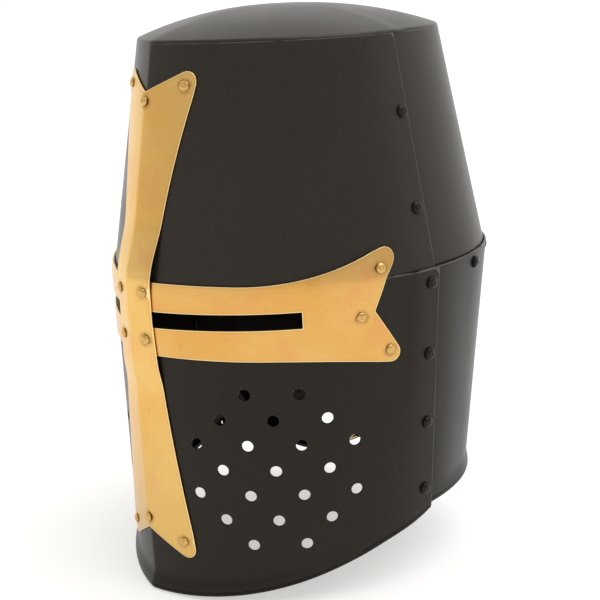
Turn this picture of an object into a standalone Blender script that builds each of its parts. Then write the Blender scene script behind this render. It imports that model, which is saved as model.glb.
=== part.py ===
"""Great helm: a riveted steel bucket helmet with a brass cross, a leather liner and a chin strap.

Metres, +Z up. The face points along -Y and the wearer's left is +X. The origin is below the middle
of the helmet, level with the lowest point of the rim.

Every sheet is laid on one shell surface. A place on it is (along, height): the distance round the
outline from the front keel, positive towards the wearer's left, and the height. The lift is how far
a sheet's outer face stands out from the shell, so nested sheets differ only in lift.
"""

import math
from functools import lru_cache
from typing import NamedTuple

import bmesh
import bpy
import numpy as np
from mathutils import Matrix, Vector

# Sheet stock
STEEL = 0.0012
BRASS = 0.0010
LEATHER = 0.0020
GAP = 0.0004
LAYER = STEEL + GAP

# Heights
SEAM_HEIGHT = 0.1828
WALL_TOP = 0.3062
SHOULDER_FOOT = 0.3065
OVERLAP_FOOT = 0.1703
CROWN_RISE = 0.0139
SHOULDER_RADIUS = 0.0022
SHOULDER_ANGLES = (0, 10, 40, 70)
RIM_SIDE_HEIGHT = 0.0433
RIM_SIDE_ALONG = 0.1756
RIM_BACK_RISE = 0.0030
FRONT_RIM_HEIGHT = 0.0425
FRONT_RIM_DROP = 0.0030
BACK_RIM_HEIGHT = 0.0408
ROLL_RADIUS = 0.0026
FLARE_RISE = 0.0090
FLARE_FRONT = 0.0026
FLARE_SIDE = 0.0

# Side seam, where the front plates lap over the back plates
SIDE_SEAM_Y = 0.0100
SIDE_OVERLAP = 0.0140
SIDE_RAMP = 0.0140
BODY_SHIFT_Y = 0.0041
HIDDEN_RIM_Y = SIDE_SEAM_Y + BODY_SHIFT_Y + 0.0012
HIDDEN_RIM_TOP = RIM_SIDE_HEIGHT + 0.0008

# Lifts of the outer faces
LIFT_UPPER_BACK = 0.0
LIFT_UPPER_FRONT = LAYER
LIFT_LOWER_BACK = LAYER
LIFT_LOWER_FRONT = 2 * LAYER
LIFT_ARM = LIFT_LOWER_FRONT + GAP + BRASS
LIFT_ARM_TAIL = LIFT_ARM - 0.0012
LIFT_UPRIGHT_TOP = LIFT_UPPER_FRONT + GAP + BRASS
LIFT_UPRIGHT_CROSSING = LIFT_ARM + GAP + BRASS
LIFT_UPRIGHT_FOOT = LIFT_LOWER_FRONT + GAP + BRASS
LIFT_LINER = -(STEEL + GAP)
LIFT_LINER_FOOT = LIFT_LINER - LEATHER - GAP

# Cross
UPRIGHT_WAIST = 0.0154
EYE_SLOT_START = 0.0130
EYE_SLOT_END = 0.0980
EYE_SLOT_WIDTH = 0.0089
EYE_SLOT_HEIGHTS = (0.1624, 0.1647)

# Breath holes
BREATH_RADIUS = 0.0032
BREATH_SIDES = 10
BREATH_CENTRE = (0.0795, 0.0796)
BREATH_PITCH = (0.0147, 0.0146)
BREATH_ROWS = ((-3, (-1, 1)), (-2, (-2, 0, 2)), (-1, (-3, -1, 1, 3)), (0, (-2, 0, 2)),
               (1, (-3, -1, 1, 3)), (2, (-2, 0, 2)), (3, (-1, 1)))

# Rivets
SHANK_RADIUS = 0.0015
RIVET_CLEARANCE = 0.0004
RIVET_SIDES = 8
STEEL_HEAD = (0.0035, 0.0021)
BRASS_HEAD = (0.0028, 0.0015)
TAIL_RADIUS = 0.0025
TAIL_THICKNESS = 0.0009
SIDE_RIVET_Y = 0.0037
SEAM_RIVET_HEIGHT = 0.1753
SIDE_RIVET_PITCH = 0.0404
BACK_RIVET_GAPS = 7

# Liner
TONGUES = 8
BAND_FOOT = 0.1712
BAND_TOP = 0.1960
TONGUE_RISE = 0.0720
TONGUE_LEAN = math.radians(25)
CROWN_REACH = 0.33
PATCH_REACH = 0.46

# Chin strap: half an ellipse below the two seam rivets, seen along Y
STRAP_WIDTH = 0.0200
STRAP_HALF_SPAN = 0.0963
STRAP_DROP = 0.1180
STRAP_END = 0.0090
BUCKLE_ALONG = 0.0700
BUCKLE_LENGTH = 0.0170
BUCKLE_HALF_WIDTH = 0.0128
BUCKLE_WIRE = 0.0012
PRONG_WIRE = 0.0009
FOLD_RADIUS = BUCKLE_WIRE + GAP + LEATHER / 2
STRAP_PRONG_HOLES = (-0.053, -0.038, 0.036)


class Level(NamedTuple):
    """One cross-section of the shell. prow is 0 for a round front and grows as it points."""

    height: float
    front: float
    back: float
    half_width: float
    prow: float
    squareness: float
    shift: float


TOP = Level(0.3085, 0.0881, 0.0959, 0.0754, 0.32, 2.16, -0.0029)
SEAM = Level(SEAM_HEIGHT, 0.1138, 0.1099, 0.1035, 0.41, 2.29, 0.0)
LOW = Level(0.0247, 0.1124, 0.0897, 0.0934, 0.27, 2.29, 0.0)

TURN = np.linspace(0.0, 2.0, 361)


# ---------------------------------------------------------------- shell surface
def level_outline(level, lift):
    """Half of one cross-section, from the keel round the side to the middle of the back."""
    front, back, width = level.front + lift, level.back + lift, level.half_width + lift
    inset = level.prow * width
    keel_angle = math.acos(inset / (width + inset))
    ahead = keel_angle * (1 - np.clip(TURN, 0, 1))
    behind = np.clip(TURN - 1, 0, 1) * math.pi / 2
    power = 2 / level.squareness
    x_front = (width + inset) * np.cos(ahead) - inset
    y_front = -front * np.sin(ahead) / math.sin(keel_angle)
    x_back = width * np.cos(behind).clip(0) ** power
    y_back = back * np.sin(behind) ** power
    x = np.where(TURN < 1, x_front, x_back)
    y = np.where(TURN < 1, y_front, y_back)
    x[0] = x[-1] = 0.0
    return np.stack([x, y + level.shift + BODY_SHIFT_Y], axis=1)


@lru_cache(maxsize=None)
def outline(height, lift):
    """Half of the shell's section at any height; the walls run straight between the levels."""
    end = TOP if height > SEAM.height else LOW
    share = (height - SEAM.height) / (end.height - SEAM.height)
    return level_outline(SEAM, lift) * (1 - share) + level_outline(end, lift) * share


@lru_cache(maxsize=None)
def travelled(height):
    """Distance from the keel to each point of the outline, on the lower front plate's face."""
    steps = np.diff(outline(height, LIFT_LOWER_FRONT), axis=0)
    return np.concatenate([[0.0], np.cumsum(np.hypot(steps[:, 0], steps[:, 1]))])


def half_way(height):
    return float(travelled(height)[-1])


def along_at(y, height):
    """The distance from the keel at which the side of the shell reaches this y."""
    return float(np.interp(y, outline(height, LIFT_LOWER_FRONT)[:, 1], travelled(height)))


def place(along, height, lift):
    """The point of the shell at this distance, height and lift."""
    height = round(height, 6)
    lift = round(lift, 7)
    half = half_way(height)
    side = 1 if along >= 0 else -1
    distance = abs(along)
    if distance > half:
        distance, side = 2 * half - distance, -side
    turn = np.interp(distance, travelled(height), TURN)
    points = outline(height, lift)
    return Vector((side * np.interp(turn, TURN, points[:, 0]), np.interp(turn, TURN, points[:, 1]), height))


def facing(along, height, lift):
    """The shell's outward normal."""
    step = 0.001
    across = place(along + step, height, lift) - place(along - step, height, lift)
    up = place(along, height + step, lift) - place(along, height - step, lift)
    return across.cross(up).normalized()


def smooth(value, start, end):
    """0 before start, 1 after end, and a smooth rise between them."""
    share = min(max((value - start) / (end - start), 0.0), 1.0)
    return share * share * (3 - 2 * share)


# ---------------------------------------------------------------- scene, materials and cutters
def clear_scene():
    for item in list(bpy.data.objects):
        bpy.data.objects.remove(item, do_unlink=True)


def new_collection(name):
    collection = bpy.data.collections.new(name)
    bpy.context.scene.collection.children.link(collection)
    return collection


clear_scene()
PARTS = new_collection("knight_helmet")
CUTTERS = new_collection("cutters")


def material(name, colour, metallic, roughness):
    made = bpy.data.materials.new(name)
    made.use_nodes = True
    shader = made.node_tree.nodes["Principled BSDF"]
    shader.inputs["Base Color"].default_value = (*colour, 1)
    shader.inputs["Metallic"].default_value = metallic
    shader.inputs["Roughness"].default_value = roughness
    return made


def steel(name):
    return material(name, (0.030, 0.027, 0.025), 0.3, 0.55)


def brass(name):
    return material(name, (0.62, 0.42, 0.15), 1.0, 0.35)


def leather(name):
    return material(name, (0.10, 0.055, 0.03), 0.0, 0.7)


def add_object(name, mesh, look, collection=PARTS):
    made = bpy.data.objects.new(name, mesh)
    collection.objects.link(made)
    if look:
        mesh.materials.clear()
        mesh.materials.append(look(name))
    if collection is CUTTERS:
        made.hide_render = True
        made.display_type = "WIRE"
    return made


def mesh_from(bm, name):
    mesh = bpy.data.meshes.new(name)
    bm.to_mesh(mesh)
    bm.free()
    return mesh


def thicken(item, thickness, offset=-1.0):
    """Gives an open surface its thickness; -1 keeps the surface as the outer face."""
    solidify = item.modifiers.new("thickness", "SOLIDIFY")
    solidify.thickness = thickness
    solidify.offset = offset
    solidify.use_even_offset = True
    return item


def cut(item, *cutters):
    for cutter in cutters:
        boolean = item.modifiers.new("cut", "BOOLEAN")
        boolean.operation = "DIFFERENCE"
        boolean.solver = "EXACT"
        boolean.object = cutter
    return item


def grid_mesh(name, rows, closed=False, cap=None):
    """An open surface through rows of points, lowest row first. cap is a point that closes the top."""
    bm = bmesh.new()
    grid = [[bm.verts.new(point) for point in row] for row in rows]
    count = len(rows[0])
    for low, high in zip(grid, grid[1:]):
        for i in range(count if closed else count - 1):
            j = (i + 1) % count
            bm.faces.new((low[i], low[j], high[j], high[i]))
    if cap is not None:
        centre = bm.verts.new(cap)
        for i in range(count):
            bm.faces.new((grid[-1][i], grid[-1][(i + 1) % count], centre))
    bm.normal_update()
    return mesh_from(bm, name)


def spread(start, end, count):
    return [start + (end - start) * i / (count - 1) for i in range(count)]


# ---------------------------------------------------------------- steel plates
FRONT_COLUMNS = spread(-1, 1, 33)
BACK_COLUMNS = spread(0, 1, 31)
UPPER_HEIGHTS = (OVERLAP_FOOT, SEAM_HEIGHT, 0.2232, 0.2637, WALL_TOP)
LOWER_SHARES = (0.0, 0.33, 0.66, 1.0)
ROLL_ANGLES = (200, 145, 90, 45)


def side_seam(height):
    return along_at(SIDE_SEAM_Y + BODY_SHIFT_Y, height)


def front_along(column, height):
    return column * side_seam(height)


def back_along(column, height):
    """From the hidden edge under the left front plate, round the back, to the right one."""
    start = side_seam(height) - SIDE_OVERLAP
    return start + column * 2 * (half_way(height) - start)


def beyond_seam(along, height):
    """How far behind the side seam this place is, negative in front of it."""
    distance = abs(along)
    half = half_way(height)
    if distance > half:
        distance = 2 * half - distance
    return distance - side_seam(height)


def lower_front_lift(along, height):
    """The rear edge rises over the lower back plate."""
    start = -SIDE_OVERLAP - SIDE_RAMP
    return LIFT_LOWER_FRONT + LAYER * smooth(beyond_seam(along, height), start, start + SIDE_RAMP)


def lower_back_lift(along, height):
    """The forward edges rise over the upper front plate's rear edges."""
    return LIFT_LOWER_BACK + LAYER * (1 - smooth(beyond_seam(along, height), 0.002, 0.002 + SIDE_RAMP))


def top_lift(along, height):
    return LIFT_UPPER_FRONT * (1 - smooth(beyond_seam(along, height), 0.0, SIDE_RAMP))


def front_rim(along):
    """The rim's lowest edge, rising from the keel and levelling off just before the side seam."""
    share = abs(along) / RIM_SIDE_ALONG
    return FRONT_RIM_HEIGHT * share ** 1.9 - FRONT_RIM_DROP * smooth(share, 0.78, 1.0)


def back_rim(along):
    """The rim's lowest edge behind the side seam: nearly level, a little higher at the back."""
    half = half_way(RIM_SIDE_HEIGHT)
    share = (half - abs(half - along) - RIM_SIDE_ALONG) / (half - RIM_SIDE_ALONG)
    return BACK_RIM_HEIGHT + RIM_BACK_RISE * math.sin(max(share, 0) * math.pi / 2)


def flare(along):
    """How far the wall's foot stands out, most at the keel."""
    return FLARE_FRONT + (FLARE_SIDE - FLARE_FRONT) * smooth(abs(along), 0.05, 0.15)


def upper_plate(name, columns, along_of, lift):
    rows = [[place(along_of(c, h), h, lift) for c in columns] for h in UPPER_HEIGHTS]
    return thicken(add_object(name, grid_mesh(name, rows), steel), STEEL)


def lower_plate(name, columns, along_of, lift_of, rim_of):
    """A wall that flares a little at its foot and rolls under into a round rim."""
    rows = [[] for _ in range(len(ROLL_ANGLES) + 2 + len(LOWER_SHARES))]
    for column in columns:
        foot = rim_of(along_of(column, RIM_SIDE_HEIGHT)) + ROLL_RADIUS
        along = along_of(column, foot)
        lift = lift_of(along, foot) + flare(along)
        for row, angle in zip(rows, ROLL_ANGLES):
            down = ROLL_RADIUS * math.sin(math.radians(angle))
            back = ROLL_RADIUS * (1 - math.cos(math.radians(angle)))
            row.append(place(along, foot - down, lift - back))
        top = foot + FLARE_RISE
        heights = [foot, foot + FLARE_RISE / 2]
        heights += [top + share * (SEAM_HEIGHT - top) for share in LOWER_SHARES]
        for row, height in zip(rows[len(ROLL_ANGLES):], heights):
            along = along_of(column, height)
            out = flare(along) * (1 - smooth(height, foot, top))
            row.append(place(along, height, lift_of(along, height) + out))
    return thicken(add_object(name, grid_mesh(name, rows), steel), STEEL)


def hidden_rim_cutter():
    """Trims the back plate's forward edges above the front plate's rolled rim."""
    bm = bmesh.new()
    low, high = (0.070, -0.030, -0.010), (0.130, HIDDEN_RIM_Y, HIDDEN_RIM_TOP)
    for side in (1, -1):
        middle = [side * (low[0] + high[0]) / 2] + [(a + b) / 2 for a, b in zip(low[1:], high[1:])]
        size = [b - a for a, b in zip(low, high)]
        bmesh.ops.create_cube(bm, size=1.0, matrix=Matrix.Translation(middle) @ Matrix.Diagonal((*size, 1)))
    return add_object("hidden_rim_cutter", mesh_from(bm, "hidden_rim_cutter"), None, CUTTERS)


def top_plate():
    """The domed cap: a rounded shoulder flush with the walls, then rings up to a flat crown disc."""
    columns = spread(-1, 1, 41)[:-1]
    half = half_way(WALL_TOP)
    centre = Vector((0, TOP.shift + BODY_SHIFT_Y, 0))
    rows = []
    for angle in SHOULDER_ANGLES:
        drop = SHOULDER_RADIUS * (1 - math.cos(math.radians(angle)))
        rise = SHOULDER_RADIUS * math.sin(math.radians(angle))
        alongs = [c * half for c in columns]
        rows.append([shoulder_point(a, drop, rise) for a in alongs])
    for reach in (0.88, 0.68, 0.44, 0.15):
        ring = []
        for point in rows[len(SHOULDER_ANGLES) - 1]:
            flat = centre + (Vector((point.x, point.y, 0)) - centre) * reach
            ring.append(Vector((flat.x, flat.y, point.z + CROWN_RISE * (1 - reach ** 2.2))))
        rows.append(ring)
    crown = Vector((0, centre.y, rows[-1][0].z))
    item = add_object("top_plate", grid_mesh("top_plate", rows, closed=True, cap=crown), steel)
    return thicken(item, STEEL)


def shoulder_point(along, drop, rise):
    point = place(along, WALL_TOP, top_lift(along, WALL_TOP) - drop)
    return Vector((point.x, point.y, SHOULDER_FOOT + rise))


# ---------------------------------------------------------------- brass cross
def rounded(corners, steps=4):
    """An outline through corners given as (x, y, radius), each corner turned into an arc."""
    points = []
    for i, (x, y, radius) in enumerate(corners):
        here = Vector((x, y))
        back = Vector(corners[i - 1][:2]) - here
        ahead = Vector(corners[(i + 1) % len(corners)][:2]) - here
        if radius == 0:
            points.append(here)
            continue
        half = back.angle(ahead) / 2
        reach = radius / math.tan(half)
        middle = here + (back.normalized() + ahead.normalized()).normalized() * radius / math.sin(half)
        first = here + back.normalized() * reach - middle
        last = here + ahead.normalized() * reach - middle
        turn = first.angle_signed(last)
        for k in range(steps + 1):
            points.append(middle + Matrix.Rotation(-turn * k / steps, 2) @ first)
    return points


def wrap_pattern(name, outline_points, lift_of, columns, heights):
    """Bends a flat cut-out round the shell. It folds along the given columns and heights."""
    bm = bmesh.new()
    bm.faces.new([bm.verts.new((p.x, p.y, 0)) for p in outline_points])
    folds = [((c, 0, 0), (1, 0, 0)) for c in columns] + [((0, h, 0), (0, 1, 0)) for h in heights]
    for point, direction in folds:
        bmesh.ops.bisect_plane(bm, geom=bm.verts[:] + bm.edges[:] + bm.faces[:], dist=0.00002,
                               plane_co=point, plane_no=direction)
    for vert in bm.verts:
        along, height = vert.co.x, vert.co.y
        vert.co = place(along, height, lift_of(along, height))
    bm.normal_update()
    return thicken(add_object(name, mesh_from(bm, name), brass), BRASS)


def upright_half_width(height):
    """Narrow at the eye slots, flaring to both ends."""
    up = max(height - 0.178, 0) / 0.106
    down = max(0.165 - height, 0) / 0.131
    return UPRIGHT_WAIST + 0.0166 * up ** 1.7 + 0.0156 * down ** 1.5


def upright_lift(along, height):
    above = smooth(height, 0.188, 0.215)
    below = 1 - smooth(height, 0.122, 0.138)
    return (LIFT_UPRIGHT_CROSSING + (LIFT_UPRIGHT_TOP - LIFT_UPRIGHT_CROSSING) * above
            + (LIFT_UPRIGHT_FOOT - LIFT_UPRIGHT_CROSSING) * below)


def cross_upright():
    side = [(upright_half_width(h), h, 0) for h in spread(0.040, 0.280, 13)]
    right = [(0.0, 0.0387, 0), (0.0322, 0.0205, 0.0052)] + side + [(0.0338, 0.2962, 0.0058)]
    left = [(-x, h, r) for x, h, r in reversed(right[1:])]
    points = rounded(right + [(0.0, 0.2817, 0)] + left)
    columns = [k * 0.008 for k in range(-3, 4)]
    heights = (0.060, 0.095, 0.122, 0.130, 0.138, 0.160, SEAM_HEIGHT, 0.188, 0.201, 0.215, 0.250)
    return wrap_pattern("cross_upright", points, upright_lift, columns, heights)


def arm_lift(along, height):
    return LIFT_ARM + (LIFT_ARM_TAIL - LIFT_ARM) * smooth(height, 0.1845, 0.1950)


def arm_top(along):
    return SEAM_HEIGHT + 0.0002 + 0.0159 * (max(along - 0.062, 0) / 0.076) ** 2.2


def arm_foot(along):
    return 0.1424 - 0.0065 * (max(along - 0.075, 0) / 0.070) ** 2.2


def cross_arm(name, side):
    """One arm of the cross with its swallow tail, reaching back from under the upright."""
    start = 0.0045
    upper = [(along, arm_top(along), 0) for along in spread(0.072, 0.132, 6)]
    lower = [(along, arm_foot(along), 0) for along in spread(0.136, 0.080, 6)]
    corners = [(start, arm_foot(start), 0)]
    corners += [(x, y, r) for x, y, r in reversed(lower)]
    corners += [(0.1570, 0.1343, 0.0053), (0.1369, 0.1659, 0.0015), (0.1532, 0.2033, 0.0067)]
    corners += [(x, y, r) for x, y, r in reversed(upper)]
    corners += [(start, arm_top(start), 0)]
    points = rounded(corners)
    if side < 0:
        points = [Vector((-p.x, p.y)) for p in reversed(points)]
    columns = [side * (0.012 + k * 0.009) for k in range(16)]
    return wrap_pattern(name, points, arm_lift, columns, (0.1500, 0.1760, SEAM_HEIGHT, 0.1845, 0.1895))


def eye_slot_cutter(side):
    """A curved bar through the wall and the arm, as long and as wide as the slot."""
    columns = spread(EYE_SLOT_START, EYE_SLOT_END, 11)
    if side < 0:
        columns = [-c for c in reversed(columns)]
    rows = []
    for edge in (-0.5, 0.5):
        row = []
        for along in columns:
            share = (abs(along) - EYE_SLOT_START) / (EYE_SLOT_END - EYE_SLOT_START)
            middle = EYE_SLOT_HEIGHTS[0] + (EYE_SLOT_HEIGHTS[1] - EYE_SLOT_HEIGHTS[0]) * share
            row.append(place(along, middle + edge * EYE_SLOT_WIDTH, 0.010))
        rows.append(row)
    item = add_object(f"eye_slot_cutter_{side}", grid_mesh("eye_slot_cutter", rows), None, CUTTERS)
    return thicken(item, 0.016)


# ---------------------------------------------------------------- holes and rivets
def cylinder(bm, start, end, radius, sides):
    """A closed cylinder between two points, added to bm."""
    axis = end - start
    turn = axis.to_track_quat("Z", "Y").to_matrix().to_4x4()
    where = Matrix.Translation((start + end) / 2) @ turn
    bmesh.ops.create_cone(bm, cap_ends=True, segments=sides, radius1=radius, radius2=radius,
                          depth=axis.length, matrix=where)


def breath_hole_cutters():
    bm = bmesh.new()
    for row, columns in BREATH_ROWS:
        for column in columns:
            for side in (1, -1):
                along = side * (BREATH_CENTRE[0] + column * BREATH_PITCH[0])
                height = BREATH_CENTRE[1] + row * BREATH_PITCH[1]
                middle = place(along, height, LIFT_LOWER_FRONT - STEEL / 2)
                axis = facing(along, height, LIFT_LOWER_FRONT)
                cylinder(bm, middle - axis * 0.004, middle + axis * 0.004, BREATH_RADIUS, BREATH_SIDES)
    return add_object("breath_hole_cutters", mesh_from(bm, "breath_hole_cutters"), None, CUTTERS)


class Rivet(NamedTuple):
    """seat is the lift under the head, foot the lift under the innermost sheet it holds."""

    name: str
    look: object
    along: float
    height: float
    seat: float
    foot: float
    level: bool = False


def steel_rivets():
    """Side seams, then the row that joins the upper and lower back plates."""
    rivets = []
    seam_along = along_at(SIDE_RIVET_Y + BODY_SHIFT_Y, SEAM_RIVET_HEIGHT)
    for side, word in ((1, "left"), (-1, "right")):
        places = [(0.0055, 0.2655), (SIDE_RIVET_Y, 0.2149)]
        for number, (y, height) in enumerate(places, 1):
            along = side * along_at(y + BODY_SHIFT_Y, height)
            rivets.append(Rivet(f"rivet_{word}_upper_{number}", steel, along, height, LIFT_UPPER_FRONT,
                                LIFT_UPPER_BACK - STEEL))
        strap_foot = LIFT_LINER - LEATHER - 0.0045
        rivets.append(Rivet(f"rivet_{word}_lower_1", steel, side * seam_along, SEAM_RIVET_HEIGHT,
                            LIFT_LOWER_FRONT + LAYER, strap_foot, True))
        for number in (2, 3, 4):
            height = SEAM_RIVET_HEIGHT - (number - 1) * SIDE_RIVET_PITCH
            along = side * along_at(SIDE_RIVET_Y + BODY_SHIFT_Y, height)
            rivets.append(Rivet(f"rivet_{word}_lower_{number}", steel, along, height,
                                LIFT_LOWER_FRONT + LAYER, LIFT_LOWER_BACK + LAYER - STEEL))
    span = 2 * (half_way(SEAM_RIVET_HEIGHT) - seam_along)
    for number in range(1, BACK_RIVET_GAPS):
        along = seam_along + span * number / BACK_RIVET_GAPS
        rivets.append(Rivet(f"rivet_back_{number}", steel, along, SEAM_RIVET_HEIGHT + 0.001,
                            LIFT_LOWER_BACK, LIFT_LINER_FOOT))
    return rivets


def brass_rivets():
    """Two on the keel, then the mirrored ones of the upright and the arms."""
    keel_extra = 0.0008
    wall_foot = LIFT_LOWER_FRONT - STEEL
    rivets = [Rivet("brass_rivet_keel_top", brass, 0.0, 0.2768, LIFT_UPRIGHT_TOP,
                    LIFT_UPPER_FRONT - STEEL - keel_extra),
              Rivet("brass_rivet_keel_foot", brass, 0.0, 0.0447, LIFT_UPRIGHT_FOOT,
                    wall_foot - keel_extra)]
    for side, word in ((1, "left"), (-1, "right")):
        paired = (
            ("upright_top", 0.0253, 0.2849, LIFT_UPRIGHT_TOP, LIFT_UPPER_FRONT - STEEL),
            ("crossing_upper", 0.0105, 0.1774, LIFT_UPRIGHT_CROSSING, LIFT_LINER_FOOT),
            ("crossing_lower", 0.0103, 0.1513, LIFT_UPRIGHT_CROSSING, wall_foot),
            ("upright_foot", 0.0240, 0.0343, LIFT_UPRIGHT_FOOT, wall_foot),
            ("arm_upper_tail", 0.1400, 0.1885, LIFT_ARM, LIFT_LINER_FOOT),
            ("arm_notch", 0.1291, 0.1635, LIFT_ARM, wall_foot),
            ("arm_lower_tail", 0.1453, 0.1432, LIFT_ARM, wall_foot),
        )
        for label, along, height, seat, foot in paired:
            rivets.append(Rivet(f"brass_rivet_{word}_{label}", brass, side * along, height, seat, foot))
    return rivets


def rivet_frame(rivet):
    """The point under the head's middle, the axis, and the distance to the foot."""
    seat = place(rivet.along, rivet.height, rivet.seat)
    axis = facing(rivet.along, rivet.height, rivet.seat)
    if rivet.level:
        axis = Vector((math.copysign(1, rivet.along), 0, 0))
    return seat, axis, rivet.seat - rivet.foot


def rivet_hole_cutters(rivets):
    bm = bmesh.new()
    for rivet in rivets:
        seat, axis, depth = rivet_frame(rivet)
        cylinder(bm, seat - axis * (depth + 0.0015), seat + axis * 0.0015,
                 SHANK_RADIUS + RIVET_CLEARANCE, RIVET_SIDES)
    return add_object("rivet_hole_cutters", mesh_from(bm, "rivet_hole_cutters"), None, CUTTERS)


def add_rivet(rivet):
    """A domed head, a shank through the sheets, and a hammered tail, turned from one profile."""
    seat, axis, depth = rivet_frame(rivet)
    head_radius, head_rise = STEEL_HEAD if rivet.look is steel else BRASS_HEAD
    foot = -depth - 2 * GAP
    profile = [(0, head_rise), (0.65 * head_radius, 0.75 * head_rise), (head_radius, 0), (SHANK_RADIUS, 0),
               (SHANK_RADIUS, foot), (TAIL_RADIUS, foot), (TAIL_RADIUS, foot - TAIL_THICKNESS),
               (0, foot - TAIL_THICKNESS)]
    bm = bmesh.new()
    verts = [bm.verts.new((radius, 0, height)) for radius, height in profile]
    for upper, lower in zip(verts, verts[1:]):
        bm.edges.new((upper, lower))
    item = add_object(rivet.name, mesh_from(bm, rivet.name), rivet.look)
    item.location = seat + axis * GAP
    item.rotation_mode = "QUATERNION"
    item.rotation_quaternion = axis.to_track_quat("Z", "Y")
    screw = item.modifiers.new("turned", "SCREW")
    screw.steps = screw.render_steps = RIVET_SIDES
    screw.use_merge_vertices = True
    screw.merge_threshold = 0.00001
    screw.use_smooth_shade = True


# ---------------------------------------------------------------- leather liner
def band_point(column, height):
    """column runs from 0 at the front keel, round the left side and the back, to 1."""
    return place(column * 2 * half_way(height), height, LIFT_LINER)


def tongue_point(column, climb):
    """climb runs from 0 at the band to 1 at the tip, up and in towards the crown."""
    angle = TONGUE_LEAN + (math.pi / 2 - TONGUE_LEAN) * climb
    reach = CROWN_REACH + (1 - CROWN_REACH) * math.cos(angle) / math.cos(TONGUE_LEAN)
    return drawn_in(column, reach, tongue_height(angle))


def tongue_height(angle):
    share = (math.sin(angle) - math.sin(TONGUE_LEAN)) / (1 - math.sin(TONGUE_LEAN))
    return BAND_TOP + TONGUE_RISE * share


def drawn_in(column, reach, height):
    """A point of the band's top edge, drawn in towards the middle and set at a height."""
    base = band_point(column, BAND_TOP)
    return Vector((base.x * reach, BODY_SHIFT_Y + (base.y - BODY_SHIFT_Y) * reach, height))


def liner():
    """A band inside the seam with tongues cut in one piece with it."""
    offsets = spread(-0.42, 0.42, 7)
    bm = bmesh.new()
    columns = [(k + offset + 0.5) / TONGUES for k in range(TONGUES) for offset in offsets]
    heights = (BAND_FOOT, SEAM_HEIGHT, BAND_TOP)
    band = [[bm.verts.new(band_point(c, h)) for c in columns] for h in heights]
    for low, high in zip(band, band[1:]):
        for i in range(len(columns)):
            j = (i + 1) % len(columns)
            bm.faces.new((low[i], low[j], high[j], high[i]))
    for k in range(TONGUES):
        below = band[-1][k * len(offsets):(k + 1) * len(offsets)]
        for climb in (0.25, 0.5, 0.75, 1.0):
            narrow = 1 - 0.14 * climb
            above = [bm.verts.new(tongue_point((k + o * narrow + 0.5) / TONGUES, climb)) for o in offsets]
            for i in range(len(offsets) - 1):
                bm.faces.new((below[i], below[i + 1], above[i + 1], above[i]))
            below = above
    bm.normal_update()
    return thicken(add_object("liner", mesh_from(bm, "liner"), leather), LEATHER)


def crown_patch():
    """The disc above the tongue tips that they are sewn to."""
    rows = []
    for reach, rise in ((PATCH_REACH, 0.0010), (CROWN_REACH, 0.0018), (0.20, 0.0026), (0.08, 0.0030)):
        share = max(reach - CROWN_REACH, 0) / (1 - CROWN_REACH)
        height = tongue_height(math.acos(share * math.cos(TONGUE_LEAN))) + rise + LEATHER
        rows.append([drawn_in(column, reach, height) for column in spread(0, 1, 33)[:-1]])
    cap = Vector((0, BODY_SHIFT_Y, rows[-1][0].z))
    item = add_object("crown_patch", grid_mesh("crown_patch", rows, closed=True, cap=cap), leather)
    return thicken(item, LEATHER)


# ---------------------------------------------------------------- chin strap
STRAP_Y = SIDE_RIVET_Y + BODY_SHIFT_Y
QUARTER = np.linspace(0.0, math.pi / 2, 181)
QUARTER_POINTS = np.stack([STRAP_HALF_SPAN * np.sin(QUARTER),
                           SEAM_RIVET_HEIGHT - STRAP_DROP * np.cos(QUARTER)], axis=1)
QUARTER_LENGTHS = np.concatenate([[0.0], np.cumsum(np.hypot(*np.diff(QUARTER_POINTS, axis=0).T))])
STRAP_HALF_LENGTH = float(QUARTER_LENGTHS[-1])


def strap_point(along, out, y=STRAP_Y):
    """A point on the hanging loop: the distance from its lowest point, and how far outside it."""
    distance = min(abs(along), STRAP_HALF_LENGTH)
    angle = float(np.interp(distance, QUARTER_LENGTHS, QUARTER))
    x = STRAP_HALF_SPAN * math.sin(angle)
    z = SEAM_RIVET_HEIGHT - STRAP_DROP * math.cos(angle)
    normal = Vector((x / STRAP_HALF_SPAN ** 2, 0, (z - SEAM_RIVET_HEIGHT) / STRAP_DROP ** 2)).normalized()
    z += max(abs(along) - STRAP_HALF_LENGTH, 0)
    side = 1 if along >= 0 else -1
    return Vector((side * (x + normal.x * out), y, z + normal.z * out))


def buckle_point(along, out, y=0.0):
    """A point near the buckle; along is measured from its bar towards the left rivet."""
    return strap_point(BUCKLE_ALONG + along, out, STRAP_Y + y)


def ribbon(name, path, half_widths):
    """A flat strap through (along, out) pairs, with a half width at each."""
    rows = []
    for (along, out), half in zip(path, half_widths):
        rows.append([strap_point(along, out, STRAP_Y - half), strap_point(along, out, STRAP_Y + half)])
    return thicken(add_object(name, grid_mesh(name, rows), leather), LEATHER, 0.0)


def chin_strap_left():
    """The short strap, folded round the buckle's bar."""
    bar = BUCKLE_ALONG
    top = STRAP_HALF_LENGTH + STRAP_END
    path = [(top, 0.0)]
    path += [(along, 0.0) for along in spread(STRAP_HALF_LENGTH, bar + 0.034, 7)]
    path += [(bar + 0.026, 0.00120), (bar + 0.008, 0.00130)]
    for angle in (80, 120, 160, 200, 240, 280):
        turn = math.radians(angle)
        path.append((bar + FOLD_RADIUS * math.cos(turn), FOLD_RADIUS * math.sin(turn)))
    path += [(bar + 0.008, -0.00130), (bar + 0.024, -0.00120)]
    half = STRAP_WIDTH / 2
    return ribbon("chin_strap_left", path, [half * 0.75] + [half] * (len(path) - 1))


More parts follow.
